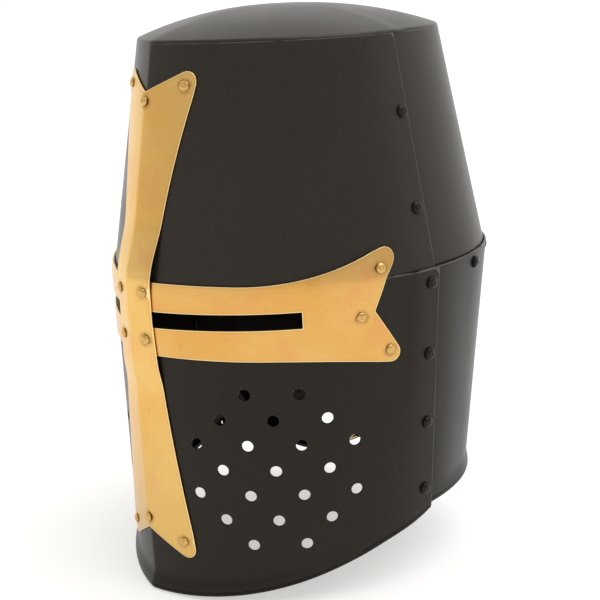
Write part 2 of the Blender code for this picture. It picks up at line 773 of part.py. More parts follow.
def chin_strap_right():
    """The long strap: under the buckle's outer bar, up through the frame and over the short one."""
    bar = BUCKLE_ALONG
    top = -STRAP_HALF_LENGTH - STRAP_END
    path = [(top, 0.0)]
    path += [(along, 0.0) for along in spread(-STRAP_HALF_LENGTH, bar - 0.034, 18)]
    path += [(bar + a, out) for a, out in (
        (-0.024, -0.0020), (-0.017, -0.0029), (-0.0135, -0.0018), (-0.009, 0.0024), (-0.005, 0.0050),
        (-0.001, 0.0054), (0.004, 0.0049), (0.010, 0.0040), (0.026, 0.0038), (0.036, 0.0026),
        (0.054, 0.0026), (0.062, 0.0026))]
    half = STRAP_WIDTH / 2
    widths = [half * 0.75] + [half] * (len(path) - 2) + [half * 0.45]
    return ribbon("chin_strap_right", path, widths)


def wire(name, points, radius, closed, look):
    """A bent wire: a poly curve made into a mesh with its caps welded."""
    curve = bpy.data.curves.new(name, "CURVE")
    curve.dimensions = "3D"
    curve.bevel_depth = radius
    curve.bevel_resolution = 1
    curve.use_fill_caps = not closed
    spline = curve.splines.new("POLY")
    spline.points.add(len(points) - 1)
    for target, point in zip(spline.points, points):
        target.co = (*point, 1)
    spline.use_cyclic_u = closed
    guide = bpy.data.objects.new(name + "_curve", curve)
    CUTTERS.objects.link(guide)
    depsgraph = bpy.context.evaluated_depsgraph_get()
    mesh = bpy.data.meshes.new_from_object(guide.evaluated_get(depsgraph))
    bpy.data.objects.remove(guide, do_unlink=True)
    bm = bmesh.new()
    bm.from_mesh(mesh)
    bmesh.ops.remove_doubles(bm, verts=bm.verts[:], dist=0.00001)
    bmesh.ops.recalc_face_normals(bm, faces=bm.faces[:])
    bm.to_mesh(mesh)
    bm.free()
    mesh.shade_smooth()
    return add_object(name, mesh, look)


def buckle_frame():
    """A rounded rectangle of wire; one long side is the bar that the prong turns on."""
    corners = [(0.0, -BUCKLE_HALF_WIDTH, 0.003), (0.0, BUCKLE_HALF_WIDTH, 0.003),
               (-BUCKLE_LENGTH, BUCKLE_HALF_WIDTH, 0.003), (-BUCKLE_LENGTH, -BUCKLE_HALF_WIDTH, 0.003)]
    points = [buckle_point(p.x, 0.0, p.y) for p in rounded(corners, 3)]
    return wire("buckle_frame", points, BUCKLE_WIRE, True, brass)


def buckle_prong():
    """A wire hooked round the bar, through the strap, resting on the outer bar."""
    hook = BUCKLE_WIRE + GAP + PRONG_WIRE
    path = [(-BUCKLE_LENGTH - 0.0025, hook), (-BUCKLE_LENGTH / 2, hook)]
    for angle in (90, 50, 10, -30, -70, -110, -140):
        turn = math.radians(angle)
        path.append((hook * math.cos(turn), hook * math.sin(turn)))
    return wire("buckle_prong", [buckle_point(*p) for p in path], PRONG_WIRE, False, brass)


def strap_keeper():
    """The loop that holds the long strap's end down on the short strap."""
    half = STRAP_WIDTH / 2 + 0.0014
    corners = [(-half, -0.0033, 0.001), (half, -0.0033, 0.001), (half, 0.0062, 0.001), (-half, 0.0062, 0.001)]
    ring = rounded(corners, 2)
    rows = [[buckle_point(along, p.y, p.x) for p in ring] for along in (0.014, 0.022)]
    return thicken(add_object("strap_keeper", grid_mesh("strap_keeper", rows, closed=True), leather), 0.0010)


def buckle_box(name, along, out, size):
    """A cutter box lined up with the loop at the buckle."""
    ahead = (buckle_point(along + 0.001, out) - buckle_point(along - 0.001, out)).normalized()
    outward = ahead.cross(Vector((0, 1, 0)))
    turn = Matrix((ahead, Vector((0, 1, 0)), outward)).transposed().to_4x4()
    bm = bmesh.new()
    bmesh.ops.create_cube(bm, size=1.0, matrix=Matrix.Translation(buckle_point(along, out)) @ turn
                          @ Matrix.Diagonal((*size, 1)))
    bmesh.ops.recalc_face_normals(bm, faces=bm.faces[:])
    return add_object(name, mesh_from(bm, name), None, CUTTERS)


def strap_hole_cutters():
    bm = bmesh.new()
    for along in STRAP_PRONG_HOLES:
        low = buckle_point(along, -0.004)
        high = buckle_point(along, 0.008)
        cylinder(bm, low, high, 0.0018, 10)
    return add_object("strap_hole_cutters", mesh_from(bm, "strap_hole_cutters"), None, CUTTERS)


# ---------------------------------------------------------------- assembly
def build():
    rivets = steel_rivets() + brass_rivets()
    rivet_holes = rivet_hole_cutters(rivets)
    breath_holes = breath_hole_cutters()
    slots = [eye_slot_cutter(1), eye_slot_cutter(-1)]

    top_plate()
    cut(upper_plate("upper_back_plate", BACK_COLUMNS, back_along, LIFT_UPPER_BACK), rivet_holes)
    cut(upper_plate("upper_front_plate", FRONT_COLUMNS, front_along, LIFT_UPPER_FRONT), rivet_holes)
    cut(lower_plate("lower_back_plate", BACK_COLUMNS, back_along, lower_back_lift, back_rim), rivet_holes,
        hidden_rim_cutter())
    cut(lower_plate("lower_front_plate", FRONT_COLUMNS, front_along, lower_front_lift, front_rim),
        rivet_holes, breath_holes, *slots)
    cut(cross_arm("cross_arm_left", 1), rivet_holes, slots[0])
    cut(cross_arm("cross_arm_right", -1), rivet_holes, slots[1])
    cut(cross_upright(), rivet_holes)
    for rivet in rivets:
        add_rivet(rivet)

    cut(liner(), rivet_holes)
    crown_patch()
    fold_slot = buckle_box("fold_slot_cutter", 0.0005, 0.0, (0.0135, 0.0034, 0.012))
    prong_slot = buckle_box("prong_slot_cutter", -0.0087, 0.0025, (0.0120, 0.0034, 0.0030))
    cut(chin_strap_left(), rivet_holes, fold_slot)
    cut(chin_strap_right(), rivet_holes, prong_slot, strap_hole_cutters())
    buckle_frame()
    buckle_prong()
    strap_keeper()


build()
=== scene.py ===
"""The look of the great helm: fine sheet metal, rivets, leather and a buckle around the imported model.

Metres, +Z up, the model's own frame: the face points along -Y and the wearer's left is +X. Each
sheet is a flat pattern, cut with its holes and then bent onto the helm's shell. A place on the shell
is (along, height): the distance round from the front keel, positive to the left, and the height. The
lift is how far a face stands out from the shell.
"""

import math
from typing import NamedTuple

import bpy
import numpy as np
from mathutils import Matrix, Vector
from mathutils.geometry import delaunay_2d_cdt


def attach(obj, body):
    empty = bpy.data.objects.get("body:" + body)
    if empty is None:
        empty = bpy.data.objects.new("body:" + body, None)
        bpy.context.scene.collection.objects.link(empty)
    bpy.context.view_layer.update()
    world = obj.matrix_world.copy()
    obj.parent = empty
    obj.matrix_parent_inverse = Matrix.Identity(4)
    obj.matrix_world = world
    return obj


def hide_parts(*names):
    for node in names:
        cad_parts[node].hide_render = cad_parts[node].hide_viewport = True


HELM, STRAP = "helm", "chin_strap"

# Sheet stock and clearances, as in the model
STEEL = 0.0012
BRASS = 0.0010
LEATHER = 0.0020
GAP = 0.0004
LAYER = STEEL + GAP

# Heights and the rolled rim
SEAM_HEIGHT = 0.1828
WALL_TOP = 0.3062
OVERLAP_FOOT = 0.1703
CROWN_TOP = 0.3224
SHOULDER_RADIUS = 0.0022
RIM_SIDE_HEIGHT = 0.0433
RIM_SIDE_ALONG = 0.1756
RIM_BACK_RISE = 0.0030
FRONT_RIM_HEIGHT = 0.0425
FRONT_RIM_DROP = 0.0030
BACK_RIM_HEIGHT = 0.0408
ROLL_RADIUS = 0.0026
ROLL_TURN = math.radians(200)
ROLL_SPAN = ROLL_RADIUS * ROLL_TURN
FLARE_RISE = 0.0090
FLARE_FRONT = 0.0026
FLARE_BACK = 0.0016

# Side seam
SIDE_SEAM_Y = 0.0100
SIDE_OVERLAP = 0.0140
SIDE_RAMP = 0.0140
BACK_RAMP = 0.0360
RIM_RAMP = 0.0360
# How far above the wall's foot the rolled rim's painted shade reaches.
SHADED_RIM_BAND = 0.0019
TUCK_START = 0.1735
TUCK_END = 0.1815
BODY_SHIFT_Y = 0.0041
HIDDEN_RIM_Y = SIDE_SEAM_Y + BODY_SHIFT_Y + 0.0003
HIDDEN_RIM_TOP = BACK_RIM_HEIGHT + ROLL_RADIUS - 0.0006

# Lifts of the outer faces
LIFT_UPPER_BACK = 0.0
LIFT_UPPER_FRONT = LAYER
LIFT_LOWER_BACK = LAYER
LIFT_LOWER_FRONT = 2 * LAYER
LIFT_ARM = LIFT_LOWER_FRONT + GAP + BRASS
LIFT_UPRIGHT_TOP = LIFT_UPPER_FRONT + GAP + BRASS
LIFT_UPRIGHT_CROSSING = LIFT_ARM + GAP + BRASS
LIFT_UPRIGHT_FOOT = LIFT_LOWER_FRONT + GAP + BRASS
LIFT_LINER = -(STEEL + GAP)
LIFT_LINER_FOOT = LIFT_LINER - LEATHER - GAP

# Cross, eye slots and breath holes
WALL_SLOPE = 0.21
ARM_BEND_START = 0.1740
ARM_BEND_END = 0.2040
ARM_LEAN = 0.0056
UPRIGHT_WAIST = 0.0154
EYE_SLOT_START = 0.0130
EYE_SLOT_END = 0.0980
EYE_SLOT_WIDTH = 0.0089
EYE_SLOT_HEIGHTS = (0.1624, 0.1647)
BREATH_RADIUS = 0.0032
BREATH_CENTRE = (0.0795, 0.0796)
BREATH_PITCH = (0.0147, 0.0146)
BREATH_ROWS = ((-3, (-1, 1)), (-2, (-2, 0, 2)), (-1, (-3, -1, 1, 3)), (0, (-2, 0, 2)),
               (1, (-3, -1, 1, 3)), (2, (-2, 0, 2)), (3, (-1, 1)))

# Rivets
SHANK_RADIUS = 0.0015
RIVET_CLEARANCE = 0.0004
STEEL_HEAD = (0.0035, 0.0021)
BRASS_HEAD = (0.0028, 0.0015)
TAIL_RADIUS = 0.0025
TAIL_THICKNESS = 0.0009
TAIL_SHAPE = ((0.92, 0), (1, 0.3), (0.8, 0.85), (0.4, 1))
SIDE_RIVET_Y = 0.0037
SEAM_RIVET_HEIGHT = 0.1753
SIDE_RIVET_PITCH = 0.0404
BACK_RIVET_GAPS = 7

# Liner
TONGUES = 8
BAND_FOOT = 0.1712
BAND_TOP = 0.1960
TONGUE_RISE = 0.0720
TONGUE_LEAN = math.radians(25)
CROWN_REACH = 0.33
PATCH_REACH = 0.46

# Chin strap: half an ellipse below the two seam rivets
STRAP_WIDTH = 0.0200
STRAP_HALF_SPAN = 0.0963
STRAP_DROP = 0.1180
STRAP_END = 0.0090
BUCKLE_ALONG = 0.0700
BUCKLE_LENGTH = 0.0170
BUCKLE_HALF_WIDTH = 0.0128
BUCKLE_WIRE = 0.0012
PRONG_WIRE = 0.0009
FOLD_RADIUS = BUCKLE_WIRE + GAP + LEATHER / 2
STRAP_PRONG_HOLES = (-0.053, -0.038, 0.036)
STRAP_RIVET_HOLE = (STRAP_END, SHANK_RADIUS + RIVET_CLEARANCE)
STRAP_WEAVE = ((-0.024, -0.0020), (-0.017, -0.0029), (-0.0135, -0.0018), (-0.009, 0.0024),
               (-0.005, 0.0050), (-0.001, 0.0054), (0.004, 0.0049), (0.010, 0.0040), (0.026, 0.0038),
               (0.036, 0.0026), (0.054, 0.0026), (0.062, 0.0026))
PATH_STEP = 0.0001
PATH_SOFTNESS = 0.0018
STRAP_Y = SIDE_RIVET_Y + BODY_SHIFT_Y

# Fineness of the meshes, in metres of pattern
PITCH = 0.0030
FINE_PITCH = 0.0022
KEEL_SOFTNESS = 0.0007


class Level(NamedTuple):
    """One cross-section of the shell. prow is 0 for a round front and grows as it points."""

    height: float
    front: float
    back: float
    half_width: float
    prow: float
    squareness: float
    shift: float


TOP = Level(0.3085, 0.0881, 0.0959, 0.0754, 0.32, 2.16, -0.0029)
SEAM = Level(SEAM_HEIGHT, 0.1138, 0.1099, 0.1035, 0.41, 2.29, 0.0)
LOW = Level(0.0247, 0.1124, 0.0897, 0.0934, 0.27, 2.29, 0.0)


# ---------------------------------------------------------------- shell surface
def level_point(level, turn, lift):
    """x and y on one cross-section; turn runs from 0 at the keel to 1 at the side and 2 at the back."""
    front, back, width = level.front + lift, level.back + lift, level.half_width + lift
    inset = level.prow * width
    keel_angle = np.arccos(inset / (width + inset))
    ahead = keel_angle * (1 - np.clip(turn, 0, 1))
    behind = np.clip(turn - 1, 0, 1) * math.pi / 2
    power = 2 / level.squareness
    x_back = width * np.cos(behind).clip(0) ** power
    x = np.where(turn < 1, (width + inset) * np.cos(ahead) - inset, x_back)
    y = np.where(turn < 1, -front * np.sin(ahead) / np.sin(keel_angle), back * np.sin(behind) ** power)
    return x, y + level.shift + BODY_SHIFT_Y


def section(turn, height, lift):
    """x and y on the shell; the walls run straight between the levels."""
    seam_x, seam_y = level_point(SEAM, turn, lift)
    top_x, top_y = level_point(TOP, turn, lift)
    low_x, low_y = level_point(LOW, turn, lift)
    above = height > SEAM.height
    span = np.where(above, TOP.height - SEAM.height, LOW.height - SEAM.height)
    share = (height - SEAM.height) / span
    x = seam_x + (np.where(above, top_x, low_x) - seam_x) * share
    return x, seam_y + (np.where(above, top_y, low_y) - seam_y) * share


TURNS = np.linspace(0, 2, 1201)
SHARES = np.linspace(0, 1, 901)
HEIGHTS = np.concatenate([np.linspace(-0.012, SEAM_HEIGHT, 90), np.linspace(SEAM_HEIGHT, 0.33, 70)[1:]])


def turn_table():
    """For each height: half the way round, and the turn at even shares of that distance."""
    halves, turns = [], []
    for height in HEIGHTS:
        x, y = section(TURNS, height, LIFT_LOWER_FRONT)
        gone = np.concatenate([[0], np.cumsum(np.hypot(np.diff(x), np.diff(y)))])
        halves.append(gone[-1])
        turns.append(np.interp(SHARES * gone[-1], gone, TURNS))
    return np.array(halves), np.array(turns)


HALVES, TURN_AT = turn_table()


def half_way(height):
    return np.interp(height, HEIGHTS, HALVES)


def turn_at(distance, height):
    """The turn at this distance from the keel, read between the rows and columns of the table."""
    row = np.interp(height, HEIGHTS, np.arange(len(HEIGHTS)))
    column = np.clip(distance / half_way(height), 0, 1) * (len(SHARES) - 1)
    i, j = np.minimum(row.astype(int), len(HEIGHTS) - 2), np.minimum(column.astype(int), len(SHARES) - 2)
    a, b = row - i, column - j
    low = TURN_AT[i, j] * (1 - b) + TURN_AT[i, j + 1] * b
    high = TURN_AT[i + 1, j] * (1 - b) + TURN_AT[i + 1, j + 1] * b
    return low * (1 - a) + high * a


def place(along, height, lift):
    """Points of the shell, one row each. The keel's fold is rounded as bent sheet is."""
    along, height, lift = np.broadcast_arrays(*(np.asarray(v, float) for v in (along, height, lift)))
    half = half_way(height)
    over = np.abs(along) > half
    side = np.where(along >= 0, 1, -1) * np.where(over, -1, 1)
    distance = np.where(over, 2 * half - np.abs(along), np.abs(along))
    x, _ = section(turn_at(distance, height), height, lift)
    _, y = section(turn_at(np.hypot(distance, KEEL_SOFTNESS), height), height, lift)
    return np.stack([side * x, y, height], -1)


def point(along, height, lift):
    return Vector(place(along, height, lift))


def facing(along, height, lift):
    """The shell's outward normal."""
    step = 0.001
    across = point(along + step, height, lift) - point(along - step, height, lift)
    up = point(along, height + step, lift) - point(along, height - step, lift)
    return across.cross(up).normalized()


def along_at(y, height):
    """The distance from the keel at which the side of the shell reaches this y."""
    found = []
    for level in np.atleast_1d(height):
        far = half_way(level)
        tries = np.linspace(0, far, 400)
        found.append(np.interp(y, place(tries, level, LIFT_LOWER_FRONT)[:, 1], tries))
    return np.array(found) if np.ndim(height) else float(found[0])


SIDE_SEAM_AT = along_at(SIDE_SEAM_Y + BODY_SHIFT_Y, HEIGHTS)


def side_seam(height):
    return np.interp(height, HEIGHTS, SIDE_SEAM_AT)


def smooth(value, start, end):
    """0 before start, 1 after end, and a smooth rise between them."""
    share = np.clip((value - start) / (end - start), 0, 1)
    return share * share * (3 - 2 * share)


# ---------------------------------------------------------------- camera, lights and floor
CAMERA_PLACE = (0.5631, -0.4713, 0.3438)
CAMERA_AZIMUTH = 49.8273
CAMERA_PITCH = 14.8667
CAMERA_ROLL = -2.5052
CAMERA_LENS = 75.86
CAMERA_SHIFT = (0.0047, -0.0018)
ROOM_FRONT = (0.76, -0.65, 0.0)
ROOM_BLEND = (-0.45, 0.55)
ROOM_BACK_LEVEL = 1.05
ROOM_FRONT_LEVEL = 0.72
LIGHT_FROM = (0.7, 0.5, 1.7)
LIGHT_ENERGY = 1.3
LIGHT_SPREAD = math.radians(50)
FLOOR_HALF = 12


def add_camera():
    azimuth, pitch, roll = (math.radians(v) for v in (CAMERA_AZIMUTH, CAMERA_PITCH, CAMERA_ROLL))
    data = bpy.data.cameras.new("camera")
    data.sensor_width = 36
    data.lens = CAMERA_LENS
    data.shift_x, data.shift_y = CAMERA_SHIFT
    data.clip_start = 0.01
    made = bpy.data.objects.new("camera", data)
    bpy.context.scene.collection.objects.link(made)
    turn = Matrix.Rotation(azimuth, 4, "Z") @ Matrix.Rotation(math.pi / 2 - pitch, 4, "X")
    made.matrix_world = Matrix.Translation(CAMERA_PLACE) @ turn @ Matrix.Rotation(roll, 4, "Z")
    bpy.context.scene.camera = made


def add_studio():
    """A white room, brighter behind the helm than in front of it, with one large soft light above."""
    world = bpy.data.worlds.new("studio")
    bpy.context.scene.world = world
    world.use_nodes = True
    nodes, links = world.node_tree.nodes, world.node_tree.links
    background = nodes["Background"]
    background.inputs["Color"].default_value = (1.0, 0.985, 0.965, 1)
    direction = nodes.new("ShaderNodeTexCoord")
    ahead = nodes.new("ShaderNodeVectorMath")
    ahead.operation = "DOT_PRODUCT"
    ahead.inputs[1].default_value = ROOM_FRONT
    level = nodes.new("ShaderNodeMapRange")
    level.interpolation_type = "SMOOTHSTEP"
    for socket, value in zip(level.inputs[1:5], (*ROOM_BLEND, ROOM_BACK_LEVEL, ROOM_FRONT_LEVEL)):
        socket.default_value = value
    links.new(direction.outputs["Generated"], ahead.inputs[0])
    links.new(ahead.outputs["Value"], level.inputs[0])
    links.new(level.outputs[0], background.inputs["Strength"])
    data = bpy.data.lights.new("soft_light", "SUN")
    data.energy = LIGHT_ENERGY
    data.angle = LIGHT_SPREAD
    light = bpy.data.objects.new("soft_light", data)
    bpy.context.scene.collection.objects.link(light)
    light.rotation_euler = Vector(LIGHT_FROM).to_track_quat("Z", "Y").to_euler()
    corners = [(x * FLOOR_HALF, y * FLOOR_HALF, 0) for x, y in ((-1, -1), (1, -1), (1, 1), (-1, 1))]
    floor = add_object("floor", new_mesh("floor", corners, [(0, 1, 2, 3)]))
    floor.data.materials.append(floor_paint())
    bpy.context.scene.view_settings.view_transform = "Standard"


# ---------------------------------------------------------------- materials
class Paint:
    """A Principled material with short calls for its nodes."""

    def __init__(self, name, **values):
        self.material = bpy.data.materials.new(name)
        self.material.use_nodes = True
        self.tree = self.material.node_tree
        self.shader = self.tree.nodes["Principled BSDF"]
        for socket, value in values.items():
            self.shader.inputs[socket.replace("_", " ")].default_value = value

    def node(self, kind, settings=None, **inputs):
        made = self.tree.nodes.new("ShaderNode" + kind)
        for key, value in (settings or {}).items():
            setattr(made, key, value)
        for key, value in inputs.items():
            by_number = key[0] == "i" and key[1:].isdigit()
            socket = made.inputs[int(key[1:]) if by_number else key]
            if isinstance(value, bpy.types.NodeSocket):
                self.tree.links.new(value, socket)
            else:
                socket.default_value = value
        return made

    def place(self, stretch=(1, 1, 1)):
        """Coordinates in metres, stretched."""
        where = self.node("TexCoord").outputs["Object"]
        return self.node("Mapping", Vector=where, Scale=stretch).outputs[0]

    def pattern(self, stretch):
        """Coordinates on the flat pattern, stretched along and across it."""
        where = self.node("Attribute", {"attribute_name": "pattern"}).outputs["Vector"]
        return self.node("Mapping", Vector=where, Scale=stretch).outputs[0]

    def measure(self, name):
        return self.node("Attribute", {"attribute_name": name}).outputs["Fac"]

    def noise(self, where, scale, detail=3.0, roughness=0.5):
        made = self.node("TexNoise", Vector=where, Scale=scale, Detail=detail, Roughness=roughness)
        return made.outputs["Fac"]

    def remap(self, value, low, high, to_low=0.0, to_high=1.0):
        made = self.node("MapRange", {"interpolation_type": "SMOOTHSTEP"}, i0=value, i1=low, i2=high,
                         i3=to_low, i4=to_high)
        return made.outputs[0]

    def maths(self, operation, a, b=0.0):
        return self.node("Math", {"operation": operation}, i0=a, i1=b).outputs[0]

    def mix(self, share, a, b):
        made = self.node("Mix", {"data_type": "RGBA"}, i0=share)
        for socket, value in ((made.inputs[6], a), (made.inputs[7], b)):
            if isinstance(value, bpy.types.NodeSocket):
                self.tree.links.new(value, socket)
            else:
                socket.default_value = (*value, 1)
        return made.outputs[2]

    def link(self, socket, value):
        self.tree.links.new(value, self.shader.inputs[socket])

    def bump(self, *layers):
        """layers are (height, depth in metres); they stack into one normal."""
        normal = None
        for height, depth in layers:
            made = self.node("Bump", Height=height, Distance=depth, Strength=1.0)
            if normal is not None:
                self.tree.links.new(normal, made.inputs["Normal"])
            normal = made.outputs[0]
        self.link("Normal", normal)


def floor_paint():
    """Pale, and faintly glowing so that it stays white in the helm's own shadow."""
    return Paint("floor_paint", Base_Color=(0.52, 0.52, 0.52, 1), Roughness=0.95, Specular_IOR_Level=0.0,
                 Emission_Color=(1.0, 0.985, 0.96, 1), Emission_Strength=0.54).material


def powder_coat(name, roughness=0.33, worn=1.0, shade=1.0, ior=1.40):
    """Satin black powder coat: a fine pebble, and paler edges where it has rubbed."""
    paint = Paint(name, IOR=ior, Specular_Tint=(1.0, 0.86, 0.76, 1))
    where = paint.place()
    mottle = paint.remap(paint.noise(where, 14, 3), 0.3, 0.7)
    deep, plain = (0.0112, 0.0097, 0.0078), (0.0134, 0.0117, 0.0094)
    colour = paint.mix(mottle, [c * shade for c in deep], [c * shade for c in plain])
    specks = paint.remap(paint.noise(where, 1700, 2, 0.6), 0.50, 0.66)
    colour = paint.mix(paint.maths("MULTIPLY", specks, 0.28), colour, (0.044, 0.038, 0.032))
    rubbed = paint.remap(paint.measure("edge"), 0.00015, 0.0007, 1, 0)
    patchy = paint.remap(paint.noise(where, 90, 3), 0.25, 0.55)
    wear = paint.maths("MULTIPLY", paint.maths("MULTIPLY", rubbed, patchy), 0.8 * worn)
    paint.link("Base Color", paint.mix(wear, colour, (0.120, 0.110, 0.100)))
    sheen = paint.remap(paint.noise(where, 40, 4), 0.3, 0.7, roughness - 0.015, roughness + 0.02)
    paint.link("Roughness", sheen)
    pebble = paint.noise(where, 1500, 3, 0.6)
    peel = paint.noise(where, 420, 2)
    paint.bump((peel, 0.00004), (pebble, 0.00005))
    return paint.material


def sheet_brass(name, brush, shade=(1.0, 1.0, 1.0)):
    """Brushed brass, a little tarnished, darker round the rivets, with painted shade towards the bottom
    and a painted highlight along its edges.
    """
    paint = Paint(name, Metallic=1.0)

    def tone(*colour):
        return [c * s for c, s in zip(colour, shade)]

    where = paint.place()
    cloud = paint.remap(paint.noise(where, 22, 4), 0.32, 0.68)
    colour = paint.mix(cloud, tone(0.790, 0.440, 0.120), tone(0.830, 0.520, 0.175))
    rosy = paint.remap(paint.noise(where, 48, 3), 0.52, 0.75)
    colour = paint.mix(paint.maths("MULTIPLY", rosy, 0.6), colour, tone(0.800, 0.385, 0.150))
    streaks = paint.noise(paint.pattern(brush), 1.0, 4, 0.6)
    streak_share = paint.remap(streaks, 0.40, 0.75, 0.0, 0.22)
    colour = paint.mix(streak_share, colour, (0.560, 0.330, 0.110))
    stain = paint.remap(paint.noise(where, 160, 4, 0.6), 0.60, 0.80, 0.0, 0.35)
    colour = paint.mix(stain, colour, (0.480, 0.270, 0.095))
    halo = paint.remap(paint.measure("rivet"), 0.0029, 0.0056, 0.85, 0.0)
    broken = paint.remap(paint.noise(where, 260, 3), 0.30, 0.65, 0.25, 1.0)
    colour = paint.mix(paint.maths("MULTIPLY", halo, broken), colour, (0.330, 0.190, 0.070))
    grime = paint.remap(paint.measure("edge"), 0.0005, 0.0022, 0.30, 0.0)
    colour = paint.mix(grime, colour, (0.520, 0.300, 0.100))
    # Painted shade: the brass darkens towards the bottom of the helm.
    height = paint.node("SeparateXYZ", Vector=where).outputs["Z"]
    colour = paint.mix(paint.remap(height, 0.030, 0.150, 0.42, 0.0), colour, tone(0.560, 0.345, 0.118))
    # Painted highlight: a pale band along the sheet's edges.
    bright = paint.remap(paint.measure("edge"), 0.00022, 0.00055, 0.9, 0.0)
    paint.link("Base Color", paint.mix(bright, colour, (0.960, 0.740, 0.370)))
    dull = paint.remap(streaks, 0.3, 0.7, 0.23, 0.31)
    paint.link("Roughness", paint.maths("ADD", dull, paint.maths("MULTIPLY", stain, 0.3)))
    hammered = paint.noise(where, 65, 2)
    paint.bump((hammered, 0.00022), (streaks, 0.000018))
    return paint.material


def small_brass(name, base, roughness):
    """The rivets and the buckle: turned or drawn brass with patches of tarnish."""
    paint = Paint(name, Metallic=1.0)
    where = paint.place()
    tarnish = paint.remap(paint.noise(where, 420, 4, 0.6), 0.42, 0.72, 0.0, 0.55)
    paint.link("Base Color", paint.mix(tarnish, base, (0.42, 0.25, 0.085)))
    scuffs = paint.noise(where, 700, 3)
    paint.link("Roughness", paint.remap(scuffs, 0.3, 0.7, roughness - 0.05, roughness + 0.1))
    paint.bump((paint.noise(where, 900, 2), 0.00004))
    return paint.material


def leather(name, dark, pale, grain, shine):
    """Leather with pores and creases, its cut edges dark and burnished."""
    paint = Paint(name)
    where = paint.place()
    cells = paint.node("TexVoronoi", {"feature": "DISTANCE_TO_EDGE"}, Vector=where, Scale=grain)
    crease = paint.remap(cells.outputs["Distance"], 0.0, 0.12)
    cloud = paint.remap(paint.noise(where, 30, 5, 0.6), 0.3, 0.7)
    colour = paint.mix(cloud, dark, pale)
    shade = tuple(c * 0.45 for c in dark)
    colour = paint.mix(paint.remap(crease, 0, 1, 0.55, 0.0), colour, shade)
    burnished = paint.remap(paint.measure("edge"), 0.0002, 0.0012, 0.8, 0.0)
    paint.link("Base Color", paint.mix(burnished, colour, shade))
    paint.link("Roughness", paint.remap(cloud, 0, 1, shine, shine + 0.16))
    paint.bump((crease, 0.00012), (paint.noise(where, 1400, 3), 0.00005))
    return paint.material


def thread(name, colour):
    """Twisted waxed thread."""
    paint = Paint(name, Roughness=0.6)
    where = paint.place()
    twist = paint.noise(where, 2600, 2)
    dark = tuple(c * 0.6 for c in colour)
    paint.link("Base Color", paint.mix(paint.remap(twist, 0.35, 0.65), dark, colour))
    paint.bump((twist, 0.00008))
    return paint.material


# ---------------------------------------------------------------- mesh helpers
def add_object(name, mesh):
    made = bpy.data.objects.new(name, mesh)
    bpy.context.scene.collection.objects.link(made)
    return made


def new_mesh(name, points, faces):
    mesh = bpy.data.meshes.new(name)
    mesh.from_pydata(points, [], faces)
    return mesh


def show(item, node, look, smooth_shade=True):
    """Finishes a piece: its material, the body it rides on and the node it stands for."""
    material, slot, body = LOOKS[look]
    item.data.materials.clear()
    item.data.materials.append(material)
    if smooth_shade:
        item.data.shade_smooth()
    if node:
        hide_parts(node)
    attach(item, body)


def thicken(item, thickness, offset=-1.0, rounding=0.00025, even=True):
    """Gives a sheet its thickness and takes the sharpness off its edges."""
    solidify = item.modifiers.new("thickness", "SOLIDIFY")
    solidify.thickness = thickness
    solidify.offset = offset
    solidify.use_even_offset = even
    if rounding:
        bevel = item.modifiers.new("rounding", "BEVEL")
        bevel.width = rounding
        bevel.segments = 2
        bevel.limit_method = "ANGLE"
        bevel.angle_limit = math.radians(50)
    normals = item.modifiers.new("normals", "WEIGHTED_NORMAL")
    normals.weight = 100
    return item


def spread(start, end, count):
    return [start + (end - start) * i / (count - 1) for i in range(count)]


def steps(start, end, pitch=PITCH):
    """Even places from start to end, about a pitch apart."""
    return np.linspace(start, end, max(2, round(abs(end - start) / pitch) + 1))


def rounded(corners, count=6):
    """An outline through corners given as (x, y, radius), each corner turned into an arc."""
    points = []
    for i, (x, y, radius) in enumerate(corners):
        here = Vector((x, y))
        back = Vector(corners[i - 1][:2]) - here
        ahead = Vector(corners[(i + 1) % len(corners)][:2]) - here
        if radius == 0:
            points.append(here)
            continue
        half = back.angle(ahead) / 2
        reach = radius / math.tan(half)
        middle = here + (back.normalized() + ahead.normalized()).normalized() * radius / math.sin(half)
        first = here + back.normalized() * reach - middle
        last = here + ahead.normalized() * reach - middle
        turn = first.angle_signed(last)
        for k in range(count + 1):
            points.append(middle + Matrix.Rotation(-turn * k / count, 2) @ first)
    return np.array([tuple(p) for p in points])


def circle(x, y, radius, sides):
    angles = np.arange(sides) * math.tau / sides
    return np.stack([x + radius * np.cos(angles), y + radius * np.sin(angles)], 1)


def densify(loop, pitch):
    """Adds points so that no side of a closed outline is longer than the pitch."""
    points = []
    for start, end in zip(loop, np.roll(loop, -1, axis=0)):
        count = max(1, math.ceil(np.hypot(*(end - start)) / pitch))
        points.extend(start + (end - start) * k / count for k in range(count))
    return np.array(points)


def nearest(points, targets):
    """The distance from each point to the nearest target."""
    found = []
    for part in np.array_split(points, max(1, len(points) // 2000)):
        found.append(np.hypot(*(part[:, None] - targets[None]).transpose(2, 0, 1)).min(axis=1))
    return np.concatenate(found)


def inside(points, loop):
    """Which points lie inside a closed outline."""
    x, y = points[:, 0], points[:, 1]
    result = np.zeros(len(points), bool)
    for (x0, y0), (x1, y1) in zip(loop, np.roll(loop, -1, axis=0)):
        if y0 != y1:
            crosses = (y0 > y) != (y1 > y)
            result ^= crosses & (x < (x1 - x0) * (y - y0) / (y1 - y0) + x0)
    return result


